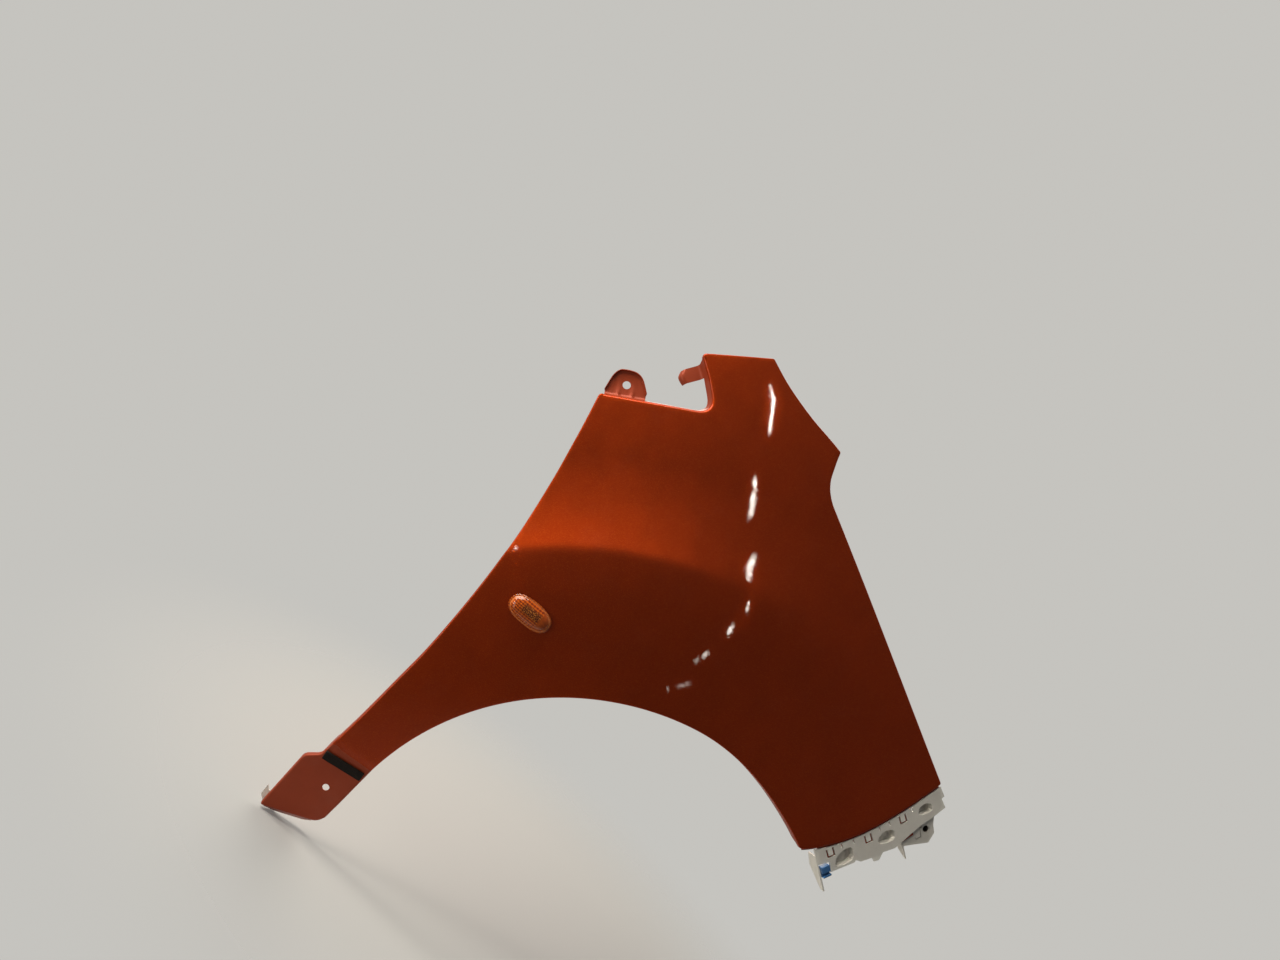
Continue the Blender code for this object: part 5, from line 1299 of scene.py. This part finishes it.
def glossy_paint():
    """Burnt orange metallic paint under clear coat: flakes, orange peel, light dust and fine scratches."""
    finish = Finish("glossy_burnt_orange")
    tone = finish.mix(finish.noise(9.0, 2.0), PAINT_DEEP, PAINT_WARM)
    flake = finish.node("SeparateColor", {0: finish.cells(2600.0)}).outputs[0]
    tone = finish.mix(finish.between(flake, 0.80, 0.98, 0.0, 0.35), tone, PAINT_FLAKE)
    colour = dusted(finish, tone, 0.010)
    scratches = finish.noise(60.0, 4.0, 0.6, along=(1.0, 1.0, 14.0))
    scratch_share = finish.between(scratches, 0.70, 0.74, 0.0, 0.10)
    coat_roughness = finish.between(finish.noise(28.0, 5.0), 0.3, 0.8, 0.02, 0.05)
    finish.set(
        Base_Color=colour,
        Metallic=0.85,
        Specular_Tint=(*PAINT_GRAZING, 1.0),
        Specular_IOR_Level=0.0,
        Roughness=finish.between(finish.noise(35.0, 4.0), 0.2, 0.8, 0.44, 0.52),
        Coat_Weight=0.4,
        Coat_Roughness=finish.reckon("ADD", coat_roughness, scratch_share),
        Normal=finish.bump(flake, 0.06, 0.0002),
        Coat_Normal=finish.bump(finish.noise(260.0, 2.0), 0.05, 0.0006),
    )
    return finish.material


def satin_paint():
    """The thinner, duller paint of the folds, the foot and the back, with dust and rubbed spots."""
    finish = Finish("satin_burnt_orange")
    tone = finish.mix(finish.noise(40.0, 5.0), SATIN_DEEP, SATIN_WARM)
    colour = dusted(finish, tone, 0.03)
    finish.set(
        Base_Color=colour,
        Metallic=0.25,
        Specular_IOR_Level=0.3,
        Roughness=finish.between(finish.noise(70.0, 5.0), 0.25, 0.75, 0.38, 0.58),
        Coat_Weight=0.15,
        Coat_Roughness=0.30,
        Normal=finish.bump(finish.noise(420.0, 3.0), 0.12, 0.0004),
    )
    return finish.material


def moulded_grey(name, colour):
    """Light grey moulded plastic with a fine grain, a film of dust, darker in its hollows and creases, and
    paler rubbed edges.
    """
    finish = Finish(name)
    mottled = finish.mix(finish.noise(60.0, 5.0), shade(colour, 0.88), colour)
    edges = finish.node("NewGeometry").outputs["Pointiness"]
    worn = finish.mix(finish.between(edges, 0.52, 0.60, 0.0, 0.5), mottled, shade(colour, 1.35))
    # Concave hollows and creases are made darker.
    hollow_darkened = finish.mix(finish.between(edges, 0.48, 0.42, 0.0, 0.55), worn, HOLLOW_DARK)
    finish.set(
        Base_Color=dusted(finish, hollow_darkened, 0.12),
        Roughness=finish.between(finish.noise(90.0, 4.0), 0.2, 0.8, 0.45, 0.62),
        Normal=finish.bump(finish.noise(1500.0, 3.0), 0.20, 0.0002),
    )
    return finish.material


def amber_plastic():
    """Clear amber plastic, with painted shade and glints in the bulb's window, painted light and shade on the
    ribs and a painted highlight round the rim.
    """
    finish = Finish("amber_plastic")
    x, y = finish.axis(0), finish.axis(1)

    def near(value, number):
        aside = finish.reckon("ABSOLUTE", finish.reckon("ADD", value, -WINDOW_PLACE[number]))
        half = WINDOW_HALF[number]
        return finish.between(aside, half, half * WINDOW_CORE_SHARES[number])

    def out(value, size):
        share = finish.reckon("ABSOLUTE", finish.reckon("DIVIDE", value, size / 2.0))
        return finish.reckon("POWER", share, OVAL_POWER)

    within = finish.reckon("MULTIPLY", near(x, 0), near(y, 1))
    ribs, cross = finish.wave(y, RIB_PITCH), finish.wave(x, RIB_PITCH * CROSS_RIB_PITCH_SHARE)
    lines = finish.reckon("MULTIPLY_ADD", cross, 0.35, finish.reckon("MULTIPLY", ribs, 0.65))
    ribbed = finish.between(x, RIB_END + RIB_PITCH, RIB_END)
    plain_tone = finish.mix(finish.noise(260.0, 3.0), AMBER_DEEP, AMBER)
    # The ribbed part is painted lighter and darker along the same lines as its bump: painted light and shade
    # of the ribs.
    rib_painted_light_and_shade = finish.mix(finish.between(lines, -0.5, 0.4), AMBER_DEEP, AMBER)
    tone = finish.mix(ribbed, plain_tone, rib_painted_light_and_shade)
    # The bulb's window is painted deep brown as the shade of the inside seen through it, flecked with painted
    # glints.
    window = finish.mix(finish.between(finish.noise(900.0, 1.0), 0.50, 0.66), AMBER_WINDOW_SHADE, AMBER_PAINTED_GLINT)
    tone = finish.mix(finish.reckon("MULTIPLY", within, 0.92), tone, window)
    # A band round the rim is painted lighter: a painted highlight.
    around = finish.reckon("ADD", out(x, LENS_LENGTH), out(y, LENS_WIDTH))
    first, full, last, end = RIM_BAND_SHARES
    rim_highlight_band = finish.reckon("MULTIPLY", finish.between(around, first, full), finish.between(around, end, last))
    tone = finish.mix(finish.reckon("MULTIPLY", rim_highlight_band, 0.8), tone, AMBER_RIM_HIGHLIGHT)
    finish.set(
        Base_Color=tone,
        Roughness=0.10,
        IOR=1.49,
        Transmission_Weight=0.12,
        Coat_Weight=0.25,
        Coat_Roughness=0.04,
        Normal=finish.bump(finish.reckon("MULTIPLY", lines, ribbed), 0.35, 0.0003),
        Coat_Normal=finish.bump(finish.noise(500.0, 2.0), 0.05, 0.0003),
    )
    return finish.material


def flute_plastic():
    """The optic plate's bright amber plastic, with fine cross lines."""
    finish = Finish("amber_flutes")
    lines = finish.wave(finish.axis(0), FLUTE_PITCH)
    finish.set(
        Base_Color=finish.mix(finish.between(lines, -1.0, 1.0), AMBER_DEEP, AMBER_GLOW),
        Roughness=0.18,
        Specular_IOR_Level=0.9,
        Normal=finish.bump(lines, 0.6, 0.0004),
    )
    return finish.material


def foam_rubber():
    """Black closed-cell foam, with its cells as small pits."""
    finish = Finish("black_foam_cells")
    pits = finish.cells(1400.0, "Distance")
    finish.set(
        Base_Color=dusted(finish, finish.mix(finish.noise(180.0), FOAM_DEEP, FOAM_WORN), 0.10),
        Roughness=0.92,
        Specular_IOR_Level=0.25,
        Normal=finish.bump(finish.reckon("ADD", pits, finish.noise(500.0)), 0.7, 0.0006),
    )
    return finish.material


def plain_plastic(name, colour, roughness):
    """Moulded plastic or rubber with a fine grain and a little dust."""
    finish = Finish(name)
    tone = finish.mix(finish.noise(150.0, 4.0), shade(colour, 0.8), colour)
    finish.set(
        Base_Color=dusted(finish, tone, 0.08),
        Roughness=finish.between(finish.noise(200.0), 0.2, 0.8, roughness - 0.08, roughness + 0.08),
        Normal=finish.bump(finish.noise(900.0, 3.0), 0.18, 0.0002),
    )
    return finish.material


def bare_metal(name, colour, roughness):
    """Rolled metal strip with lines along it."""
    finish = Finish(name)
    lines = finish.noise(300.0, 3.0, 0.6, along=(1.0, 12.0, 1.0))
    finish.set(
        Base_Color=finish.mix(lines, shade(colour, 0.75), colour),
        Metallic=1.0,
        Roughness=finish.between(lines, 0.2, 0.8, roughness - 0.08, roughness + 0.10),
        Normal=finish.bump(lines, 0.15, 0.0001),
    )
    return finish.material


def bulb_glass():
    """Amber-coated bulb glass."""
    finish = Finish("bulb_glass_coated")
    finish.set(
        Base_Color=finish.mix(finish.noise(300.0), BULB_DEEP, BULB_PALE),
        Roughness=0.03,
        Transmission_Weight=0.9,
        IOR=1.47,
    )
    return finish.material


def finish_nodes():
    """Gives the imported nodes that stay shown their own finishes."""
    finishes = {
        "sill_foam_strip": foam_rubber(),
        "repeater_gasket": plain_plastic("gasket_rubber", RUBBER_BLACK, 0.75),
        "repeater_housing": plain_plastic("housing_grey", HOUSING_GREY, 0.40),
        "repeater_bulb_holder": plain_plastic("holder_black", HOLDER_BLACK, 0.45),
        "repeater_contact_lower": bare_metal("contact_brass", BRASS, 0.28),
        "repeater_contact_upper": bare_metal("contact_brass_upper", BRASS, 0.28),
        "repeater_bulb": bulb_glass(),
        "repeater_spring_clip": bare_metal("clip_steel", CLIP_STEEL, 0.30),
        "bracket_clip": plain_plastic("clip_blue", CLIP_BLUE, 0.40),
        "sill_clip": moulded_grey("sill_clip_grey", GREY_PLASTIC),
    }
    for name, material in finishes.items():
        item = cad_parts[name]
        item.data.materials.clear()
        item.data.materials.append(material)


def seat_matrix():
    """The frame of the side repeater on the panel."""
    turn = math.radians(REPEATER_TURN_DEGREES)
    return face_matrix(face, (REPEATER_AHEAD, REPEATER_HEIGHT), (math.cos(turn), math.sin(turn)))


def camera_directions():
    """The camera's right, its up, which is rolled as the photograph holds the fender, and its view."""
    roll = math.radians(LEAN_DEGREES)
    right = Vector((math.cos(roll), 0.0, math.sin(roll)))
    up = Vector((-math.sin(roll), 0.0, math.cos(roll)))
    return right, up, Vector((0.0, 1.0, 0.0))


def make_camera(datum):
    """The photograph's camera: square to the car's side, rolled."""
    right, up, view = camera_directions()
    data = bpy.data.cameras.new("camera")
    data.sensor_width = SENSOR_WIDTH
    data.lens = FOCAL_PIXELS / PHOTO_WIDTH * SENSOR_WIDTH
    data.clip_start = CLOSEST_SEEN
    matrix = frame_of(right, up, -view, datum @ Vector(CAMERA_PLACE))
    bpy.context.scene.camera = new_item("camera", data, matrix)


def area_light(name, place, target, size, power, turn, reach):
    """A light that faces a point; turn is the way of its long side, and reach narrows it to the point."""
    data = bpy.data.lights.new(name, "AREA")
    data.shape = "ELLIPSE" if reach else "RECTANGLE"
    data.size, data.size_y = size
    data.energy = power
    data.color = WARM
    if reach:
        half = math.atan(reach / (place - target).length)
        data.spread = 2.0 * half
        data.energy = power * (math.tan(half) - half) / math.tan(half)
    back = (place - target).normalized()
    long_side = (turn - back * turn.dot(back)).normalized()
    light = new_item(name, data, frame_of(long_side, back.cross(long_side), back, place))
    light.visible_camera = False


def seen_point(pixel):
    """The point of the outer face that a pixel of the photograph shows, and where its mirror image lies."""
    right, up, view = camera_directions()
    ray = view + right * (pixel[0] - PHOTO_WIDTH / 2.0) / FOCAL_PIXELS
    ray = ray + up * (PHOTO_HEIGHT / 2.0 - pixel[1]) / FOCAL_PIXELS
    camera = Vector(CAMERA_PLACE)
    point = camera + ray * -camera.y
    for _ in range(FACE_TRIES):
        point = camera + ray * (float(face(point.x, point.z)) - camera.y)
    along, upwards = slopes(face, point.x, point.z)
    normal = Vector((along, -1.0, upwards)).normalized()
    ray.normalize()
    mirrored = ray - normal * 2.0 * ray.dot(normal)
    return point, point + mirrored * LAMP_DISTANCE


def streak_pieces():
    """The streaks as short pieces that overlap, each with its strength."""
    for start, end, strength in STREAKS:
        count = max(1, round(math.dist(start, end) / STREAK_STEP))
        for step in range(count):
            shares = (max(0.0, step - STREAK_OVERLAP), min(count, step + 1.0 + STREAK_OVERLAP))
            yield *(between(start, end, share / count) for share in shares), strength


def make_glints(datum):
    """Narrow lamps whose reflections make the white streaks on the paint."""
    for order, (start, end, strength) in enumerate(streak_pieces()):
        (first_point, first), (last_point, last) = seen_point(start), seen_point(end)
        place = datum @ ((first + last) / 2.0)
        target = datum @ ((first_point + last_point) / 2.0)
        length = max((last - first).length, LAMP_WIDTH)
        power = strength * STREAK_GAIN * length * LAMP_WIDTH * math.pi
        reach = (last_point - first_point).length * STREAK_REACH_SHARE + STREAK_MARGIN
        area_light(f"streak_{order}", place, target, (length, LAMP_WIDTH), power, last - first, reach)


def make_lights(datum):
    """Soft light from above the photograph's view, weaker light from beside, and two smaller lamps."""
    directions = camera_directions()
    corner = datum @ seen_point(CORNER_PIXEL)[0]
    for name, offsets, size, power, reach in LAMPS:
        target = corner if reach else Vector(OBJECT_MIDDLE)
        offset = sum((way * amount for way, amount in zip(directions, offsets)), Vector())
        area_light(name, target + offset, target, size, power, directions[0], reach)


def make_world():
    """A pale backdrop for the camera, and soft light that is stronger from above the photograph's view."""
    world = bpy.data.worlds.new("studio")
    bpy.context.scene.world = world
    tree = Tree(world, "Generated")
    values = {0: tree.coordinates, 1: camera_directions()[1]}
    up = tree.node("VectorMath", values, operation="DOT_PRODUCT").outputs["Value"]
    graded = tree.between(up, *WORLD_UP_RANGE, WORLD_LOW, WORLD_HIGH)
    across = tree.node("SeparateXYZ", {0: tree.coordinates}).outputs[1]
    behind = tree.between(across, *WORLD_BEHIND_RANGE)
    dimmed = tree.node("MapRange", {"Value": behind, "To Min": WORLD_FRONT_SHARE}).outputs["Result"]
    path = tree.node("LightPath").outputs
    bent = tree.reckon("ADD", path["Is Glossy Ray"], path["Is Transmission Ray"], clamp=True)
    wall_share = tree.reckon("ADD", path["Is Camera Ray"], tree.reckon("MULTIPLY", bent, behind), clamp=True)
    shown = tree.mix(wall_share, tree.reckon("MULTIPLY", graded, dimmed), BACKDROP)
    tree.put(tree.nodes["Background"].inputs["Color"], shown)


def make_floor():
    """A pale round floor under the foot that fades out into the backdrop."""
    mesh = bmesh.new()
    bmesh.ops.create_circle(mesh, cap_ends=True, radius=FLOOR_RADIUS, segments=FLOOR_STEPS)
    data = as_data("floor", mesh)
    floor = new_item("floor", data, Matrix.Translation((OBJECT_MIDDLE[0], FLOOR_BACK, FLOOR_LEVEL)))
    finish = Finish("pale_floor")
    finish.set(Base_Color=(*FLOOR_PALE, 1.0), Roughness=0.8)
    distance = finish.node("VectorMath", {0: finish.coordinates}, operation="LENGTH").outputs["Value"]
    near, far = (FLOOR_RADIUS * share for share in FLOOR_FADE_SHARES)
    fade = finish.between(distance, near, far, 1.0, 0.0)
    clear = finish.node("BsdfTransparent").outputs[0]
    joined = finish.node("MixShader", {0: fade, 1: clear, 2: finish.shader.outputs[0]})
    finish.put(finish.nodes["Material Output"].inputs["Surface"], joined.outputs[0])
    data.materials.append(finish.material)


def main():
    """Builds the shown pieces, the finishes, the camera, the lights and the floor."""
    datum = wheel_centre()
    make_skin(datum)
    make_lens_shell(datum @ seat_matrix())
    make_flutes(datum @ seat_matrix())
    make_bracket(datum)
    make_lower_bracket(datum)
    finish_nodes()
    make_camera(datum)
    make_glints(datum)
    make_lights(datum)
    make_world()
    make_floor()
    bpy.context.scene.view_settings.view_transform = "Standard"


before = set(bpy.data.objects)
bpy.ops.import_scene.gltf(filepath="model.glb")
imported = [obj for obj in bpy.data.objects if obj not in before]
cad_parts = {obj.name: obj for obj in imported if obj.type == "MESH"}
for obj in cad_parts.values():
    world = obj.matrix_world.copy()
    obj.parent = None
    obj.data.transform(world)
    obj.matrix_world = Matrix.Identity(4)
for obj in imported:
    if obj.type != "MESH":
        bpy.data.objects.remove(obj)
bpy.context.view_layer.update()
main()
